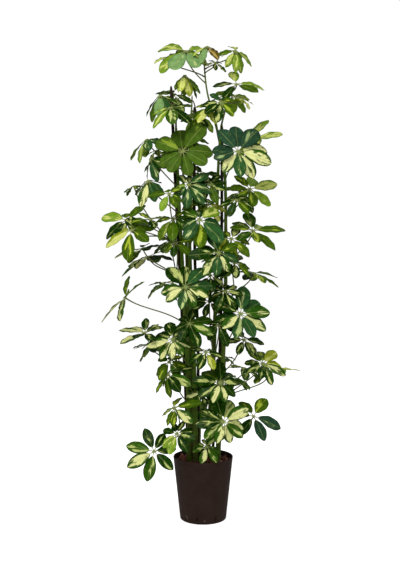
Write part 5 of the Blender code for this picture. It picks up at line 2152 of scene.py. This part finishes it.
@dataclass
class Studio:
    """The pale floor, the soft lights and the camera."""

    camera_place: Triple = (-0.0095, -2.6, 0.862)
    pitch: float = 3.4
    focal_pixels: float = 871.0
    frame_height: float = 570.0
    sensor: float = 24.0
    room_light: float = 0.36
    backdrop: float = 1.02
    floor_half: float = 9.0
    floor_shade: float = 0.93
    floor_roughness: float = 0.9
    floor_glow: float = 0.67
    lamps: tuple[tuple, ...] = (
        ("key", (-1.0, -2.3, 2.4), (0.0, 0.0, 0.75), 1.4, 50.0),
        ("fill", (1.7, -1.9, 1.0), (0.0, 0.0, 0.7), 1.6, 10.0),
        ("rear", (0.4, 2.2, 2.2), (0.0, 0.0, 0.8), 1.6, 18.0),
    )

    def build(self) -> None:
        """Set up the studio."""
        scene = bpy.context.scene
        scene.view_settings.view_transform = "Standard"
        scene.view_settings.look = "None"
        data = bpy.data.cameras.new("camera")
        data.sensor_fit = "VERTICAL"
        data.sensor_height = self.sensor
        data.lens = self.focal_pixels / self.frame_height * self.sensor
        camera = bpy.data.objects.new("camera", data)
        camera.location = self.camera_place
        camera.rotation_euler = (math.radians(90 - self.pitch), 0.0, 0.0)
        scene.collection.objects.link(camera)
        scene.camera = camera
        self.floor()
        self.world()
        for lamp in self.lamps:
            self.lamp(*lamp)

    def floor(self) -> None:
        """Lay the pale floor."""
        mesh = bpy.data.meshes.new("floor")
        half = self.floor_half
        corners = [(-half, -half, 0), (half, -half, 0), (half, half, 0), (-half, half, 0)]
        mesh.from_pydata(corners, [], [(0, 1, 2, 3)])
        floor = bpy.data.objects.new("floor", mesh)
        mat = bpy.data.materials.new("pale_floor")
        mat.use_nodes = True
        shader = mat.node_tree.nodes["Principled BSDF"]
        seen = node(mat.node_tree, "ShaderNodeLightPath", out="Is Camera Ray")
        feeds = {
            "Base Color": (self.floor_shade,) * 3, "Roughness": self.floor_roughness,
            "Specular IOR Level": 0.0, "Emission Color": (1.0, 1.0, 1.0),
            "Emission Strength": seen * self.floor_glow,
        }
        for label, value in feeds.items():
            plug(mat.node_tree, shader.inputs[label], value)
        mesh.materials.append(mat)
        bpy.context.scene.collection.objects.link(floor)

    def world(self) -> None:
        """Light the room evenly with white."""
        world = bpy.data.worlds.new("studio")
        world.use_nodes = True
        tree = world.node_tree
        back = tree.nodes["Background"]
        back.inputs["Color"].default_value = (1.0, 1.0, 1.0, 1.0)
        seen = node(tree, "ShaderNodeLightPath", out="Is Camera Ray")
        plug(tree, back.inputs["Strength"], seen * (self.backdrop - self.room_light) + self.room_light)
        bpy.context.scene.world = world

    @staticmethod
    def lamp(name: str, place: tuple, aim: tuple, size: float, power: float) -> None:
        """Hang a soft square lamp that looks at a point.

        Args:
            name: The lamp's name.
            place: Where it hangs.
            aim: The point it looks at.
            size: Its width.
            power: Its power in watts.
        """
        data = bpy.data.lights.new(name, "AREA")
        data.size = size
        data.energy = power
        lamp = bpy.data.objects.new(name, data)
        lamp.location = place
        lamp.rotation_euler = (Vector(aim) - Vector(place)).to_track_quat("-Z", "Y").to_euler()
        bpy.context.scene.collection.objects.link(lamp)


def main() -> None:
    """Build the sub-assemblies in order and note the sizes."""
    logging.basicConfig(level=logging.INFO, format="%(name)s: %(message)s")
    Studio().build()
    effects = Effects()
    pot = Pot()
    pot.build(MouldedPlastic().material(effects))
    framework = Framework()
    feet = [path[0] for path in framework.paths.values()]
    PebbleBed(pot).build(feet, FiredClay().material(effects))
    rods = RodTree()
    framework.build(rods, StainedWood().material(effects), GreenBark().material(effects))
    Ties(framework).build(rods, CoatedWire().material(effects))
    mats = {"blade": WaxyBlade().material(effects), "stalk": GreenStalk().material(effects)}
    Foliage(framework).build(mats)


if __name__ == "__main__":
    main()
